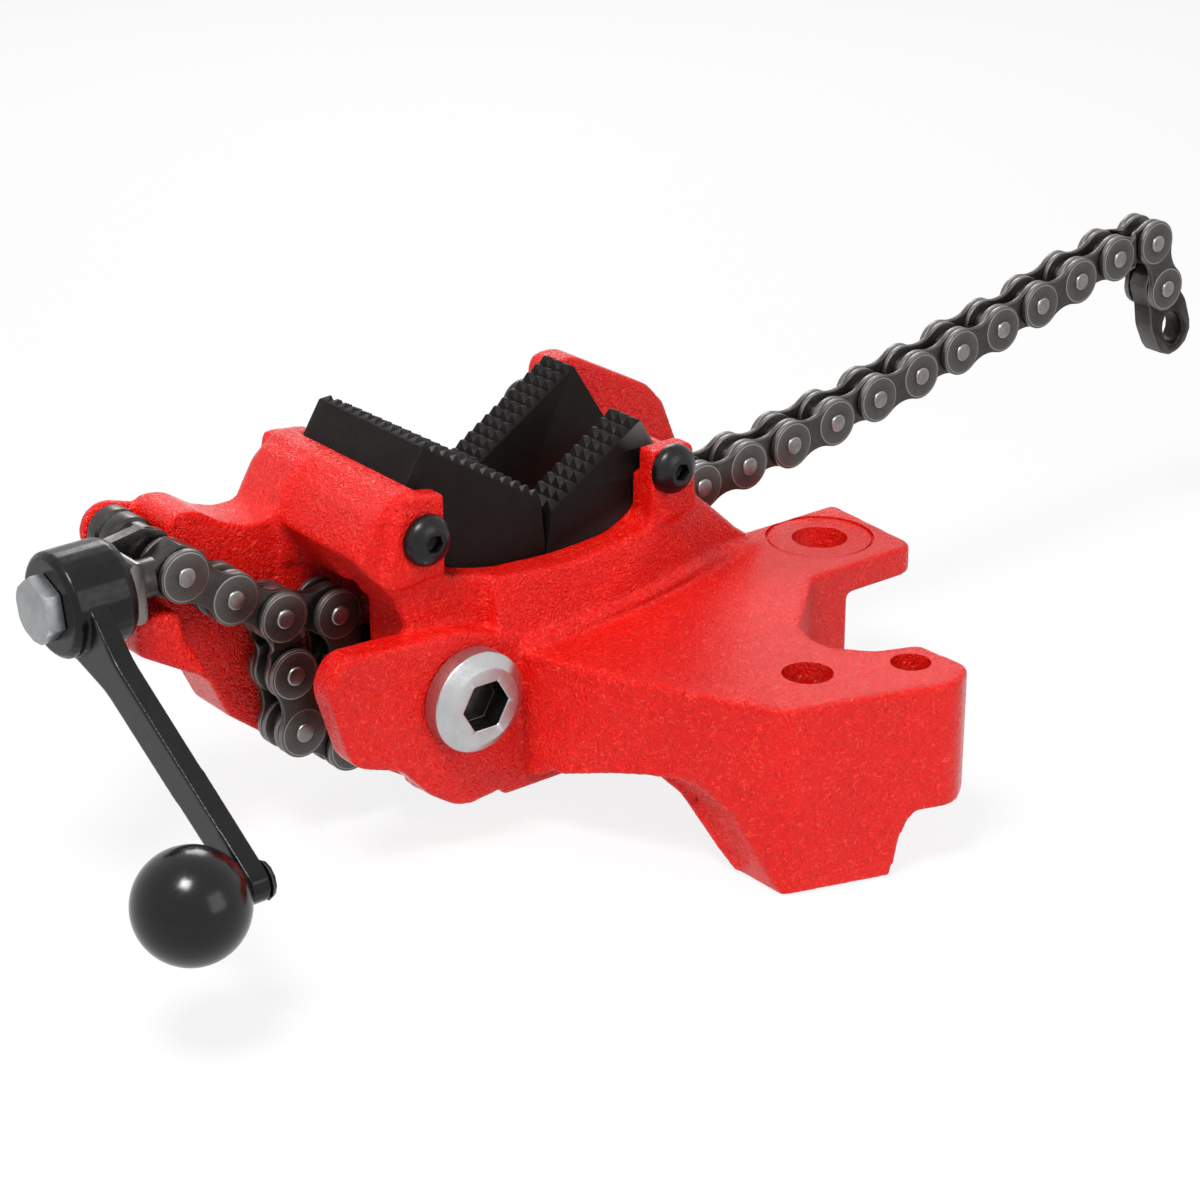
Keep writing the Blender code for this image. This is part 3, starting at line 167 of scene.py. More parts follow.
def makeMaterials():
    return {
        "casting": redEnamel(),
        # Hardened tool steel, black oxide: near black, faintly brown, with pale rubbed tooth tips.
        "jaw": wornSteel("blackOxideToolSteel", "#191514", "#7E8080", 0.05, (0.42, 0.58), 0.56, 0.7, patchMm=9,
                         shine=0.1),
        # Screw steel, black oxide and oil: smooth and a little glossier than the jaws.
        "screw": wornSteel("oiledBlackOxideScrew", "#161617", "#5A5B5C", 0.3, (0.24, 0.34), 0.58, 0.75,
                           depthMm=0.02, shine=0.4),
        # Rolled chain plate, heat-darkened and oiled: dark warm grey, rubbed pale on its rims.
        "plate": wornSteel("oiledChainPlate", "#322E2C", "#A5A29E", 0.92, (0.34, 0.5), 0.52, 0.6,
                           grainMm=0.9, patchMm=2.6, patchShare=0.5),
        # Ground pin ends: paler than the plates they are riveted into.
        "pin": wornSteel("groundPinSteel", "#86827F", "#D2D0CD", 0.95, (0.28, 0.4), 0.52, 0.62, patchMm=3),
        # Rollers polished by use: mid grey with a clear shine.
        "roller": wornSteel("polishedRollerSteel", "#77746F", "#B9B6B2", 0.95, (0.2, 0.3), 0.54, 0.66,
                            depthMm=0.02),
        # Turned tension screw and its cross pin: darker oiled steel with soft bands of light. Also used as painted
        # shade inside the anchor pin's socket.
        "turned": wornSteel("oiledTurnedSteelAndSocketShade", "#4C4947", "#7C7976", 0.95, (0.24, 0.36), 0.6, 0.8, patchMm=4),
        # Turned and plated anchor pin: pale satin silver.
        "silver": wornSteel("satinPlatedSteel", "#BFBFC0", "#E2E2E2", 0.95, (0.26, 0.36), 0.54, 0.66, depthMm=0.02,
                            patchShare=0.1),
        # Zinc-plated hexagon bolt: mid grey with a soft mottle.
        "bolt": wornSteel("zincPlatedBolt", "#9FA1A3", "#C9CBCC", 0.95, (0.34, 0.46), 0.54, 0.66, patchShare=0.2),
        # Forging under a satin black coat: soft sheen, slightly uneven. Its pale edges are partly rubbed wear and
        # partly painted highlight along the edges.
        "crank": wornSteel("satinBlackForgingPaintedEdgeHighlight", "#0E0E0F", "#8E9092", 0.0, (0.2, 0.32), 0.56, 0.66, grainMm=2.2,
                           depthMm=0.04, shine=0.24),
        # Moulded phenolic: deep black with a polished, almost wet gloss.
        "ball": wornSteel("polishedPhenolic", "#060606", "#101010", 0.0, (0.16, 0.24), 0.6, 0.8, depthMm=0.01,
                          shine=0.35),
    }


materials = makeMaterials()
print("materials made")


# Mesh helpers

def finishPiece(name, mesh, material, node, body, angle=35):
    piece = bpy.data.objects.new(name, mesh)
    bpy.context.scene.collection.objects.link(piece)
    entries = material if isinstance(material, (list, tuple)) else [material]
    slots = [min(polygon.material_index, len(entries) - 1) for polygon in mesh.polygons]
    mesh.materials.clear()
    for entry in entries:
        mesh.materials.append(materials[entry])
    for polygon, slot in zip(mesh.polygons, slots):
        polygon.material_index = slot
        polygon.use_smooth = True
    mesh.set_sharp_from_angle(angle=math.radians(angle))
    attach(piece, body)
    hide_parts(node)
    return piece


def meshOf(work, name):
    bmesh.ops.remove_doubles(work, verts=work.verts, dist=0.002 * mm)
    bmesh.ops.recalc_face_normals(work, faces=work.faces)
    mesh = bpy.data.meshes.new(name)
    work.to_mesh(mesh)
    work.free()
    return mesh


def spinProfile(work, profile, segments, to, material=0):
    # Points of (radius, height) spun about the local Z axis and turned into place.
    verts = [work.verts.new((r * mm, 0, h * mm)) for r, h in profile]
    edges = [work.edges.new(pair) for pair in zip(verts, verts[1:])]
    before = set(work.faces)
    bmesh.ops.spin(work, geom=verts + edges, cent=(0, 0, 0), axis=(0, 0, 1), angle=2 * math.pi,
                   steps=segments, use_merge=True)
    faces = [f for f in work.faces if f not in before]
    for face in faces:
        face.material_index = material
    points = list({v for f in faces for v in f.verts})
    bmesh.ops.transform(work, matrix=to, verts=points)


def alongY(x, y, z):
    return Matrix.Translation(Vector((x, y, z)) * mm) @ Matrix.Rotation(math.radians(90), 4, "X")


def roundOver(radius, height, edge, steps=3):
    # The outer corner of a turned end, from its rim round to its face.
    turn = [math.radians(90) * i / steps for i in range(steps + 1)]
    return [(radius - edge + edge * math.cos(a), height - edge + edge * math.sin(a)) for a in turn]


def evaluated(piece):
    graph = bpy.context.evaluated_depsgraph_get()
    mesh = bpy.data.meshes.new_from_object(piece.evaluated_get(graph))
    bpy.data.objects.remove(piece, do_unlink=True)
    return mesh


def softened(mesh, voxelMm, passes):
    # Fine remesh and smoothing: rounds every edge and fillets every inner corner, as casting and forging do.
    holder = bpy.data.objects.new("softening", mesh)
    bpy.context.scene.collection.objects.link(holder)
    remesh = holder.modifiers.new("remesh", "REMESH")
    remesh.mode = "VOXEL"
    remesh.voxel_size = voxelMm * mm
    smooth = holder.modifiers.new("smooth", "SMOOTH")
    smooth.factor = 0.5
    smooth.iterations = passes
    return evaluated(holder)


def copyOfNode(node):
    work = bmesh.new()
    work.from_mesh(frame["nodes"][node].data)
    bmesh.ops.remove_doubles(work, verts=work.verts, dist=0.002 * mm)
    bmesh.ops.dissolve_limit(work, angle_limit=math.radians(0.5), verts=work.verts, edges=work.edges)
    mesh = bpy.data.meshes.new(node)
    work.to_mesh(mesh)
    work.free()
    return mesh


def bevelled(mesh, widthMm, segments=2, angle=30):
    holder = bpy.data.objects.new("bevelling", mesh)
    bpy.context.scene.collection.objects.link(holder)
    bevel = holder.modifiers.new("bevel", "BEVEL")
    bevel.width = widthMm * mm
    bevel.segments = segments
    bevel.limit_method = "ANGLE"
    bevel.angle_limit = math.radians(angle)
    bevel.harden_normals = False
    return evaluated(holder)


def carved(mesh, tools):
    holder = bpy.data.objects.new("carving", mesh)
    bpy.context.scene.collection.objects.link(holder)
    cutters = []
    for tool in tools:
        cutter = bpy.data.objects.new("cutter", tool)
        bpy.context.scene.collection.objects.link(cutter)
        cutters.append(cutter)
        cut = holder.modifiers.new("cut", "BOOLEAN")
        cut.operation = "DIFFERENCE"
        cut.solver = "EXACT"
        cut.object = cutter
    result = evaluated(holder)
    for cutter in cutters:
        bpy.data.objects.remove(cutter, do_unlink=True)
    return result


# Base casting

# Spot face: middle along X and Y, width and depth. Groove: its width and its depth below the shelf.
castingShape = {"voxelMm": 0.75, "passes": 18, "faceLimit": 180000, "cornerMm": 7.0, "cornerSteps": 5,
                "cornerTurns": (22, 120), "cornerLengthMm": 8, "flangeNearMm": -34, "farEarMm": (95, -5),
                "shelfMm": -41.0, "undersideMm": -101, "plugMm": 9.4, "plugWallMm": 1.5, "ridgeMm": 2.4,
                "lipMm": 1.8, "archLipMm": 1.3, "spotFace": (111.5, -27.5, 34.5, 0.35),
                "grooveMm": (0.9, 1.0)}
# Bolt holes: middle along X and Y from the vise's zero, and bore, in mm.
boltHoles = [(39.6, -102.0, 15.2), (68.0, -115.0, 12.0), (111.5, -27.5, 17.8)]
# Crest of the cast ridge where the saddle's wall runs out onto the flange.
ridgePath = [(-12, -37.6, -39.9), (0, -37.6, -39.6), (15, -37.0, -39.0), (32, -35.0, -38.3), (51, -30.6, -38.0),
             (66, -25.6, -38.8), (80, -21.4, -40.4), (92, -18.6, -42.0)]
# Thin inner edge of the toe, which a casting leaves as a rounded lip.
toeLipPath = [(4.2, -66.8, -71.2), (7.6, -75.0, -73.2), (10.6, -82.2, -77.6), (15.2, -92.8, -91.6),
              (17.0, -97.2, -96.4), (17.8, -98.6, -98.3)]
# Lower edge of the arch under the flange's near face, just inside the metal.
archLipPath = [(-10.7, -51.3, -76.9), (-7.5, -60.2, -74.2), (-4.3, -68.1, -72.0), (-2.6, -72.0, -71.2),
               (0.2, -78.4, -69.9), (3.3, -85.6, -69.3)]


def roundPlanCorners(work):
    # Wide radii on the upright corners of the flange, the ears and the toe.
    look = castingShape
    leastTurn, mostTurn = look["cornerTurns"]
    earX, earY = look["farEarMm"]
    picked = []
    for edge in work.edges:
        a, b = [v.co / mm - viseZero / mm for v in edge.verts]
        length = (a - b).length
        upright = abs(a.z - b.z) > 0.95 * length and length > look["cornerLengthMm"]
        outer = max(a.y, b.y) < look["flangeNearMm"] or (min(a.x, b.x) > earX and max(a.y, b.y) < earY)
        if upright and outer and edge.is_manifold:
            if leastTurn < math.degrees(abs(edge.calc_face_angle_signed(0))) < mostTurn:
                picked.append(edge)
    bmesh.ops.bevel(work, geom=picked, offset=look["cornerMm"] * mm, segments=look["cornerSteps"], profile=0.5,
                    affect="EDGES", material=-1, clamp_overlap=True)
    print("plan corners rounded", len(picked))


def addRod(work, lowMm, highMm, radiusMm, x, y):
    made = bmesh.ops.create_cone(work, cap_ends=True, segments=64, radius1=radiusMm * mm, radius2=radiusMm * mm,
                                 depth=(highMm - lowMm) * mm)
    centre = viseZero + Vector((x, y, (lowMm + highMm) / 2)) * mm
    bmesh.ops.translate(work, vec=centre, verts=made["verts"])


def addBead(work, path, radiusMm):
    # A row of balls along a line; the remesh runs them together into one crest.
    for start, end in zip(path, path[1:]):
        for i in range(10):
            place = Vector(start).lerp(Vector(end), i / 10)
            made = bmesh.ops.create_icosphere(work, subdivisions=2, radius=radiusMm * mm)
            bmesh.ops.translate(work, vec=viseZero + place * mm, verts=made["verts"])


def meltedTogether(mesh, voxelMm, passes, faceLimit):
    # Fine remesh and smoothing, then thinned to the face limit.
    holder = bpy.data.objects.new("melting", softened(mesh, voxelMm, passes))
    bpy.context.scene.collection.objects.link(holder)
    count = sum(len(p.vertices) - 2 for p in holder.data.polygons)
    thin = holder.modifiers.new("thin", "DECIMATE")
    thin.ratio = min(1.0, faceLimit / count)
    return evaluated(holder)


def buildCasting():
    look = castingShape
    work = bmesh.new()
    work.from_mesh(copyOfNode("base_casting"))
    roundPlanCorners(work)
    # Holes are plugged while the casting is softened, and drilled afterwards, as the real ones are.
    shelf = look["shelfMm"]
    flush = shelf - 0.02
    for x, y, bore in boltHoles:
        addRod(work, shelf - look["plugMm"], flush, bore / 2 + look["plugWallMm"], x, y)
    x, y, wide, deep = look["spotFace"]
    addRod(work, shelf - 4, flush, wide / 2 + 0.6, x, y)
    addBead(work, ridgePath, look["ridgeMm"])
    addBead(work, toeLipPath, look["lipMm"])
    addBead(work, archLipPath, look["archLipMm"])
    mesh = bpy.data.meshes.new("castingBlank")
    work.to_mesh(mesh)
    work.free()
    soft = meltedTogether(mesh, look["voxelMm"], look["passes"], look["faceLimit"])
    drills = bmesh.new()
    for x, y, bore in boltHoles:
        addRod(drills, look["undersideMm"], 0, bore / 2, x, y)
    drillMesh = meshOf(drills, "drills")
    facing = bmesh.new()
    x, y = look["spotFace"][:2]
    addRod(facing, shelf - deep, shelf + 5, wide / 2, x, y)
    across, down = look["grooveMm"]
    groove = bmesh.new()
    ring = [(wide / 2 - across, -down), (wide / 2 + 0.1, -down), (wide / 2 + 0.1, 5), (wide / 2 - across, 5),
            (wide / 2 - across, -down)]
    spinProfile(groove, ring, 96, Matrix.Translation(viseZero + Vector((x, y, shelf)) * mm))
    cast = carved(soft, [meshOf(facing, "facing"), meshOf(groove, "groove"), drillMesh])
    print("casting triangles", sum(len(p.vertices) - 2 for p in cast.polygons))
    finishPiece("baseCasting", cast, "casting", "base_casting", "vise_base", angle=50)


buildCasting()
print("casting built")


# Jaws

jawShape = {"edgeMm": 0.28}


def buildJaws():
    for node in ("left_jaw", "right_jaw_near", "right_jaw_far"):
        mesh = bevelled(copyOfNode(node), jawShape["edgeMm"])
        finishPiece(node + "Dressed", mesh, "jaw", node, "vise_base", angle=28)


buildJaws()
print("jaws built")


# Screws and anchor pin

screwShape = {"headMm": 15.5, "riseMm": 5.2, "socketMm": 5.0, "socketDepthMm": 3.2, "shankMm": 8.0}
anchorShape = {"headMm": 31.0, "thickMm": 9.0, "chamferMm": 3.4, "socketMm": 14.0, "socketDepthMm": 7.0,
               "shankMm": 14.0}


def hexTool(acrossMm, lowMm, highMm, to, start=0.0):
    work = bmesh.new()
    bmesh.ops.create_circle(work, cap_ends=True, segments=6, radius=acrossMm * mm / math.sqrt(3))
    bmesh.ops.rotate(work, matrix=Matrix.Rotation(start, 3, "Z"), verts=work.verts)
    bmesh.ops.translate(work, vec=(0, 0, lowMm * mm), verts=work.verts)
    grown = bmesh.ops.extrude_face_region(work, geom=work.faces[:])
    top = [v for v in grown["geom"] if isinstance(v, bmesh.types.BMVert)]
    bmesh.ops.translate(work, vec=(0, 0, (highMm - lowMm) * mm), verts=top)
    bmesh.ops.transform(work, matrix=to, verts=work.verts)
    return meshOf(work, "hexTool")


def nodeMiddle(node):
    low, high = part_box(node)
    return (Vector(low) + Vector(high)) / 2


def buildJawScrews():
    look = screwShape
    for node in [f"jaw_screw_{end}_{place}" for end in ("left", "right") for place in ("near", "far")]:
        low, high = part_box(node)
        near = node.endswith("near")
        outer = low[1] if near else high[1]
        side = -1 if near else 1
        middle = nodeMiddle(node)
        length = (high[1] - low[1]) / mm
        # Local Z runs outwards from the underside of the head.
        seat = outer - side * look["riseMm"] * mm
        outwards = Matrix.Rotation(math.radians(90 if near else -90), 4, "X")
        to = Matrix.Translation((middle.x, seat, middle.z)) @ outwards
        radius, rise, shank = look["headMm"] / 2, look["riseMm"], look["shankMm"] / 2
        dome = [(radius * math.cos(a), rise * (0.22 + 0.78 * math.sin(a) / math.sin(1.05)))
                for a in [1.05 * i / 10 for i in range(11)]]
        reach = length - rise
        profile = [(0, -reach), (shank - 1, -reach), (shank, -reach + 1), (shank, 0), (radius - 0.3, 0),
                   (radius, 0.3), *dome, (0, rise)]
        work = bmesh.new()
        spinProfile(work, profile, 56, to)
        socket = hexTool(look["socketMm"], rise - look["socketDepthMm"], rise + 2, to, math.radians(18))
        mesh = bevelled(carved(meshOf(work, node), [socket]), 0.22, 2, 40)
        finishPiece(node + "Dressed", mesh, "screw", node, "vise_base", angle=32)


def buildAnchorPin():
    look = anchorShape
    low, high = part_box("anchor_pin")
    middle = nodeMiddle("anchor_pin")
    thick = look["thickMm"]
    seat = Matrix.Translation((middle.x, low[1] + thick * mm, middle.z))
    to = seat @ Matrix.Rotation(math.radians(90), 4, "X")
    radius, shank, chamfer = look["headMm"] / 2, look["shankMm"] / 2, look["chamferMm"]
    reach = (high[1] - low[1]) / mm - thick
    rim = [(radius - 0.4, 0), (radius, 0.4), (radius, thick - chamfer), (radius - 0.35, thick - chamfer + 0.4)]
    face = [(radius - chamfer - 0.5, thick - 0.15), (radius - chamfer - 1, thick), (0, thick)]
    profile = [(0, -reach), (shank - 1, -reach), (shank, -reach + 1), (shank, 0), *rim, *face]
    work = bmesh.new()
    spinProfile(work, profile, 96, to)
    socket = hexTool(look["socketMm"], thick - look["socketDepthMm"], thick + 3, to, math.radians(30))
    mesh = bevelled(carved(meshOf(work, "anchor_pin"), [socket]), 0.3, 2, 40)
    # The socket's walls and floor get the darker turned steel: painted shade for the deep hexagon recess.
    for polygon in mesh.polygons:
        place = polygon.center
        insideShadedSocket = math.hypot(place.x - middle.x, place.z - middle.z) < look["socketMm"] * 0.585 * mm
        polygon.material_index = 1 if insideShadedSocket and low[1] + 0.4 * mm < place.y < low[1] + 8 * mm else 0
    # Slot 1, the darker turned steel, is the painted shade inside the socket.
    finishPiece("anchorPinDressed", mesh, ("silver", "turned"), "anchor_pin", "vise_base", angle=20)


buildJawScrews()
buildAnchorPin()
print("screws and anchor pin built")


# Chain

chainShape = {"pitchMm": 19.05, "discMm": 16.0, "waistMm": 11.0, "plateMm": 2.0, "innerMm": 2.25, "outerMm": 4.5,
              "rollerMm": 11.0, "pinMm": 5.9, "pinProudMm": 0.9, "stampMm": 14.6, "stampProudMm": 0.22,
              "edgeMm": 0.4}


def plateOutline():
    # Two discs joined by hollow flanks, the first centred on the origin.
    look = chainShape
    disc, waist, pitch = look["discMm"] / 2, look["waistMm"] / 2, look["pitchMm"]
    hollow = ((pitch / 2) ** 2 + waist ** 2 - disc ** 2) / (2 * (disc - waist))
    touch = math.atan2(waist + hollow, pitch / 2)
    points = []
    for centre, turned in ((0.0, 0.0), (pitch, math.pi)):
        for i in range(21):
            a = turned + touch + (2 * math.pi - 2 * touch) * i / 20
            points.append((centre + disc * math.cos(a), disc * math.sin(a)))
        side = -1 if turned == 0 else 1
        flank = (pitch / 2, side * (waist + hollow))
        half = math.pi / 2 - touch
        sweep = [half - 2 * half * i / 8 for i in range(1, 8)]
        for a in sweep:
            along = -math.sin(a) if side < 0 else math.sin(a)
            points.append((flank[0] + along * hollow, flank[1] - side * hollow * math.cos(a)))
    return points


def addPlate(work, side, levels, stepMm=0.0):
    # One plate with rounded rims, between two heights off the chain's middle; a cranked one steps in on its way.
    look = chainShape
    low, high = levels
    verts = [work.verts.new((x * mm, side * low * mm, z * mm)) for x, z in plateOutline()]
    face = work.faces.new(verts)
    grown = bmesh.ops.extrude_face_region(work, geom=[face])
    far = [v for v in grown["geom"] if isinstance(v, bmesh.types.BMVert)]
    bmesh.ops.translate(work, vec=(0, side * (high - low) * mm, 0), verts=far)
    group = set(verts) | set(far)
    caps = [f for f in work.faces if set(f.verts) <= set(verts) or set(f.verts) <= set(far)]
    rims = list({e for f in caps for e in f.edges})
    before = set(work.verts) - group
    bmesh.ops.bevel(work, geom=rims, offset=look["edgeMm"] * mm, segments=2, profile=0.5, affect="EDGES",
                    material=-1)
    points = [v for v in work.verts if v not in before]
    if stepMm:
        first, last = look["pitchMm"] * 0.44, look["pitchMm"] * 0.56
        for v in points:
            share = min(1.0, max(0.0, (v.co.x / mm - first) / (last - first)))
            v.co.y -= side * stepMm * mm * share


def addStamp(work, x, side, height):
    # The low disc that stamping leaves round each pin.
    look = chainShape
    radius, proud = look["stampMm"] / 2, look["stampProudMm"]
    profile = [(0, height - 0.5), (radius, height - 0.5), (radius, height + proud * 0.4),
               (radius - 0.45, height + proud), (0, height + proud)]
    turn = Matrix.Rotation(math.radians(90 if side < 0 else -90), 4, "X")
    spinProfile(work, profile, 40, Matrix.Translation((x * mm, 0, 0)) @ turn)


def addPin(work, x, halfMm):
    look = chainShape
    radius = look["pinMm"] / 2
    end = halfMm + look["pinProudMm"]
    crown = roundOver(radius, end, 0.55)
    profile = [(0, -end)] + [(r, -h) for r, h in reversed(crown)] + crown + [(0, end)]
    spinProfile(work, profile, 32, alongY(x, 0, 0), material=1)


def addRoller(work, x):
    look = chainShape
    radius, half = look["rollerMm"] / 2, look["innerMm"] - 0.12
    rim = roundOver(radius, half, 0.5)
    bore = look["pinMm"] / 2 + 0.25
    profile = [(bore, -half)] + [(r, -h) for r, h in reversed(rim)] + rim + [(bore, half), (bore, -half)]
    spinProfile(work, profile, 40, alongY(x, 0, 0), material=2)


def linkMesh(kind):
    look = chainShape
    work = bmesh.new()
    pitch, plate = look["pitchMm"], look["plateMm"]
    inner, outer = look["innerMm"], look["outerMm"]
    step = outer - inner
    for side in (-1, 1):
        if kind == "outer":
            addPlate(work, side, (outer, outer + plate))
            for x in (0, pitch):
                addStamp(work, x, side, outer + plate)
        elif kind == "cranked":
            addPlate(work, side, (outer, outer + plate), step)
            addStamp(work, 0, side, outer + plate)
        elif kind in ("inner", "pull"):
            addPlate(work, side, (inner, inner + plate))
    if kind == "centre":
        addPlate(work, 1, (-2.0, 2.0))
    if kind == "outer":
        for x in (0, pitch):
            addPin(work, x, outer + plate)
    if kind == "cranked":
        addPin(work, 0, outer + plate)
        addRoller(work, pitch)
    if kind in ("inner", "pull"):
        addRoller(work, 0)
    if kind == "inner":
        addRoller(work, pitch)
    return meshOf(work, kind + "Link")


linkMeshes = {kind: linkMesh(kind) for kind in ("outer", "inner", "cranked", "centre", "pull")}


def stepFrom(pin, degrees):
    a = math.radians(degrees)
    return (pin[0] + chainShape["pitchMm"] * math.cos(a), pin[1] + chainShape["pitchMm"] * math.sin(a))


def runOf(start, headings):
    pins = [start]
    for heading in headings:
        pins.append(stepFrom(pins[-1], heading))
    return pins


# Pins of the fixed side, in mm from the vise's zero: along X and up Z.
fixedSide = {"eye": (-107.8, -3.9), "pull": (-35.5, -32.5), "takeOff": (-12.27, -79.14, -5.64),
             "drop": (-82.0, -83.0, -30.0), "underCount": 8}


def sagRun(start, end, count):
    # Equal chords of one circle between two pins; the bend per link is found by halving.
    pitch = chainShape["pitchMm"]
    span = math.dist(start, end)
    low, high = 1e-4, math.pi / count
    for _ in range(50):
        bend = (low + high) / 2
        reach = pitch * math.sin(count * bend / 2) / math.sin(bend / 2)
        low, high = (bend, high) if reach > span else (low, bend)
    line = math.degrees(math.atan2(end[1] - start[1], end[0] - start[0]))
    first = line - math.degrees(bend) * (count - 1) / 2
    return runOf(start, [first + math.degrees(bend) * i for i in range(count - 1)]) + [end]


def placeLink(node, kind, pin, nxt, body):
    turn = math.atan2(nxt[1] - pin[1], nxt[0] - pin[0])
    to = Matrix.Translation(viseZero + Vector((pin[0], 0, pin[1])) * mm) @ Matrix.Rotation(-turn, 4, "Y")
    mesh = linkMeshes[kind].copy()
    mesh.transform(to)
    finishPiece(node + "Dressed", mesh, ("plate", "pin", "roller"), node, body, angle=34)


def jointPin(name):
    place = (Vector(joints[name]["pos_m"]) - viseZero) / mm
    return (place.x, place.z)


def buildFixedSide():
    run = runOf(fixedSide["eye"], fixedSide["pull"])
    placeLink("pull_link_1", "outer", run[0], run[1], "draw_chain")
    placeLink("pull_link_2", "pull", run[1], run[2], "draw_chain")
    takeOff = runOf(run[2], fixedSide["takeOff"])
    placeLink("anchor_chain_link_1", "centre", takeOff[0], takeOff[1], "take_off_1")
    placeLink("anchor_chain_link_2", "outer", takeOff[1], takeOff[2], "take_off_2")
    drop = runOf(run[2], fixedSide["drop"])
    placeLink("channel_link_01", "cranked", drop[0], drop[1], "draw_chain")
    placeLink("channel_link_02", "outer", drop[1], drop[2], "draw_chain")
    placeLink("channel_link_03", "inner", drop[2], drop[3], "draw_chain")
    under = sagRun(drop[3], jointPin("chain_hinge_01"), fixedSide["underCount"])
    for i in range(fixedSide["underCount"]):
        placeLink(f"channel_link_{i + 4:02d}", ("outer", "inner")[i % 2], under[i], under[i + 1], "draw_chain")


def buildFreeRun():
    pins = [jointPin(f"chain_hinge_{i:02d}") for i in range(1, 13)] + [jointPin("end_eye_hinge")]
    kinds = ["outer", "inner"] * 5 + ["cranked", "outer"]
    for i, kind in enumerate(kinds):
        placeLink(f"free_link_{i + 1:02d}", kind, pins[i], pins[i + 1], f"free_{i + 1:02d}")


buildFixedSide()
buildFreeRun()
print("chain built")


# Small forged and turned pieces kept to their CAD form, with their edges broken

smallPieces = {
    "chain_end_eye": ("plate", "end_eye", 0.7), "anchor_chain_link_3": ("plate", "take_off_3", 0.35),
    "eye_screw": ("turned", "draw_chain", 0.5), "trunnion": ("turned", "vise_base", 0.6),
    "anchor_clip": ("screw", "vise_base", 0.2), "trunnion_clip": ("screw", "vise_base", 0.2),
    "crank_bolt": ("bolt", "crank", 0.35), "knob_stud": ("crank", "crank", 0.3),
}


def buildSmallPieces():
    for node, (finish, body, edge) in smallPieces.items():
        mesh = bevelled(copyOfNode(node), edge, 3, 28)
        finishPiece(node + "Dressed", mesh, finish, node, body, angle=30)


buildSmallPieces()
print("small pieces built")


# Crank and ball

crankShape = {"voxelMm": 0.42, "passes": 7}
ballShape = {"ballMm": 32.0, "flatMm": 5.5}


def buildCrank():
    mesh = softened(copyOfNode("crank_handle"), crankShape["voxelMm"], crankShape["passes"])
    finishPiece("crankHandle", mesh, "crank", "crank_handle", "crank", angle=180)


def buildBall():
    # Turned about the crank's axis, with a flat where it meets the arm.
    radius, flat = ballShape["ballMm"] / 2, ballShape["flatMm"]
    axis = Vector(joints["knob_spin"]["axis"]).normalized()
    low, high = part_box("ball_knob")
    centre = (Vector(low) + Vector(high)) / 2
    centre.x = low[0] + radius * mm
    end = math.asin(flat / radius)
    steps = 40
    arc = [math.pi * (1 - i / steps) for i in range(steps + 1)]
    profile = [(radius * math.sin(a), radius * math.cos(a)) for a in arc if a > end]
    profile = [(0, -radius)] + profile[1:] + [(flat, radius * math.cos(end)), (0, radius * math.cos(end))]
    work = bmesh.new()
    turn = Vector((0, 0, 1)).rotation_difference(axis).to_matrix().to_4x4()
    spinProfile(work, profile, 72, Matrix.Translation(centre) @ turn)
    finishPiece("ballKnob", meshOf(work, "ballKnob"), "ball", "ball_knob", "knob", angle=40)


buildCrank()
buildBall()
print("crank and ball built")


# Studio

studio = {"floor": "#F4F4F4", "floorGlow": 0.86, "keyWatts": 10.5, "fillWatts": 2.1, "rimWatts": 3.5,
          "worldLight": 0.3}
cameraPlace = {"azimuth": -38.4, "elevation": 23.6, "focalPixels": 3125.0, "imagePixels": 1200.0,
               "fromZeroMm": (-514.08, -704.344, 338.39)}


def areaLight(name, place, aim, size, watts):
    lamp = bpy.data.lights.new(name, "AREA")
    lamp.shape = "SQUARE"
    lamp.size = size
    lamp.energy = watts
    holder = bpy.data.objects.new(name, lamp)
    holder.location = place
    holder.rotation_euler = (Vector(aim) - Vector(place)).to_track_quat("-Z", "Y").to_euler()
    bpy.context.scene.collection.objects.link(holder)


def seenRays(tree):
    # One for rays that show the backdrop itself: to the camera, mirrored, or through glass.
    light = addNode(tree, "ShaderNodeLightPath")
    mirrored = addNode(tree, "ShaderNodeMath", {"operation": "ADD"}, {},
                       [(0, light, "Is Glossy Ray"), (1, light, "Is Transmission Ray")])
    return addNode(tree, "ShaderNodeMath", {"operation": "ADD", "use_clamp": True}, {},
                   [(0, light, "Is Camera Ray"), (1, mirrored, "Value")])


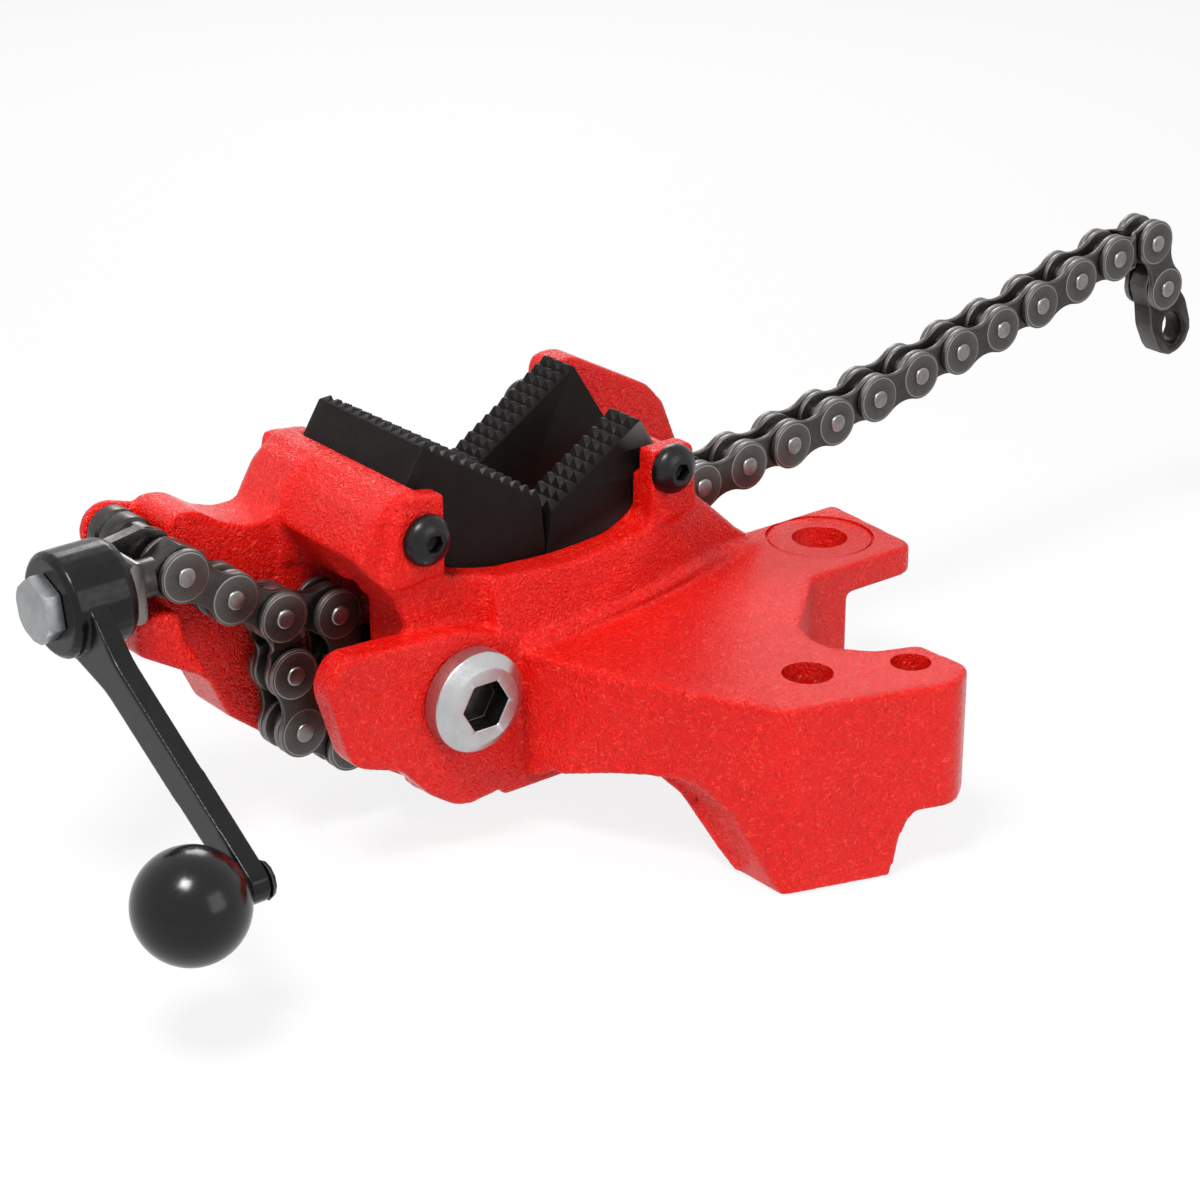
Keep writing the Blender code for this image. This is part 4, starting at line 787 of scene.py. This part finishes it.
def paleFloor():
    work = bmesh.new()
    bmesh.ops.create_grid(work, x_segments=1, y_segments=1, size=4.0)
    mesh = bpy.data.meshes.new("floor")
    work.to_mesh(mesh)
    work.free()
    floor = bpy.data.objects.new("floor", mesh)
    floor.location = (0, 0, -0.5 * mm)
    bpy.context.scene.collection.objects.link(floor)
    material = bpy.data.materials.new("paleFloor")
    material.use_nodes = True
    tree = material.node_tree
    shader = tree.nodes["Principled BSDF"]
    shader.inputs["Base Color"].default_value = toLinear(studio["floor"])
    shader.inputs["Roughness"].default_value = 0.9
    shader.inputs["Specular IOR Level"].default_value = 0.1
    glow = addNode(tree, "ShaderNodeEmission", {}, {"Color": (1, 1, 1, 1), "Strength": 1.0})
    share = addNode(tree, "ShaderNodeMath", {"operation": "MULTIPLY"}, {1: studio["floorGlow"]},
                    [(0, seenRays(tree), "Value")])
    mix = addNode(tree, "ShaderNodeMixShader", {}, {},
                  [(0, share, "Value"), (1, shader, "BSDF"), (2, glow, "Emission")])
    # Clear when seen from underneath, so that views from below show the vise.
    side = addNode(tree, "ShaderNodeNewGeometry")
    clear = addNode(tree, "ShaderNodeBsdfTransparent")
    whole = addNode(tree, "ShaderNodeMixShader", {}, {},
                    [(0, side, "Backfacing"), (1, mix, "Shader"), (2, clear, "BSDF")])
    tree.links.new(whole.outputs[0], tree.nodes["Material Output"].inputs["Surface"])
    mesh.materials.append(material)


def paleWorld():
    world = bpy.data.worlds.new("studioWorld")
    bpy.context.scene.world = world
    world.use_nodes = True
    tree = world.node_tree
    background = tree.nodes["Background"]
    background.inputs["Color"].default_value = (1, 1, 1, 1)
    strength = addNode(tree, "ShaderNodeMapRange", {},
                       {"From Min": 0.0, "From Max": 1.0, "To Min": studio["worldLight"], "To Max": 1.0},
                       [("Value", seenRays(tree), "Value")])
    tree.links.new(strength.outputs["Result"], background.inputs["Strength"])


def placeCamera():
    azimuth, elevation = math.radians(cameraPlace["azimuth"]), math.radians(cameraPlace["elevation"])
    back = Vector((math.sin(azimuth) * math.cos(elevation), -math.cos(azimuth) * math.cos(elevation),
                   math.sin(elevation)))
    right = Vector((math.cos(azimuth), math.sin(azimuth), 0))
    up = back.cross(right)
    lens = bpy.data.cameras.new("photoCamera")
    lens.sensor_width = 36
    lens.lens = 36 * cameraPlace["focalPixels"] / cameraPlace["imagePixels"]
    lens.clip_start = 0.01
    camera = bpy.data.objects.new("photoCamera", lens)
    turned = Matrix((right, up, back)).transposed().to_4x4()
    turned.translation = viseZero + Vector(cameraPlace["fromZeroMm"]) * mm
    camera.matrix_world = turned
    bpy.context.scene.collection.objects.link(camera)
    bpy.context.scene.camera = camera


middle = viseZero + Vector((40 * mm, 0, -20 * mm))
areaLight("keyLight", middle + Vector((-0.48, -0.3, 0.9)), middle, 0.28, studio["keyWatts"])
areaLight("fillLight", middle + Vector((0.2, -0.95, 0.35)), middle, 0.55, studio["fillWatts"])
areaLight("rimLight", middle + Vector((0.5, 0.8, 0.6)), middle, 0.4, studio["rimWatts"])
paleFloor()
paleWorld()
placeCamera()
bpy.context.scene.view_settings.view_transform = "Standard"
print("studio set")
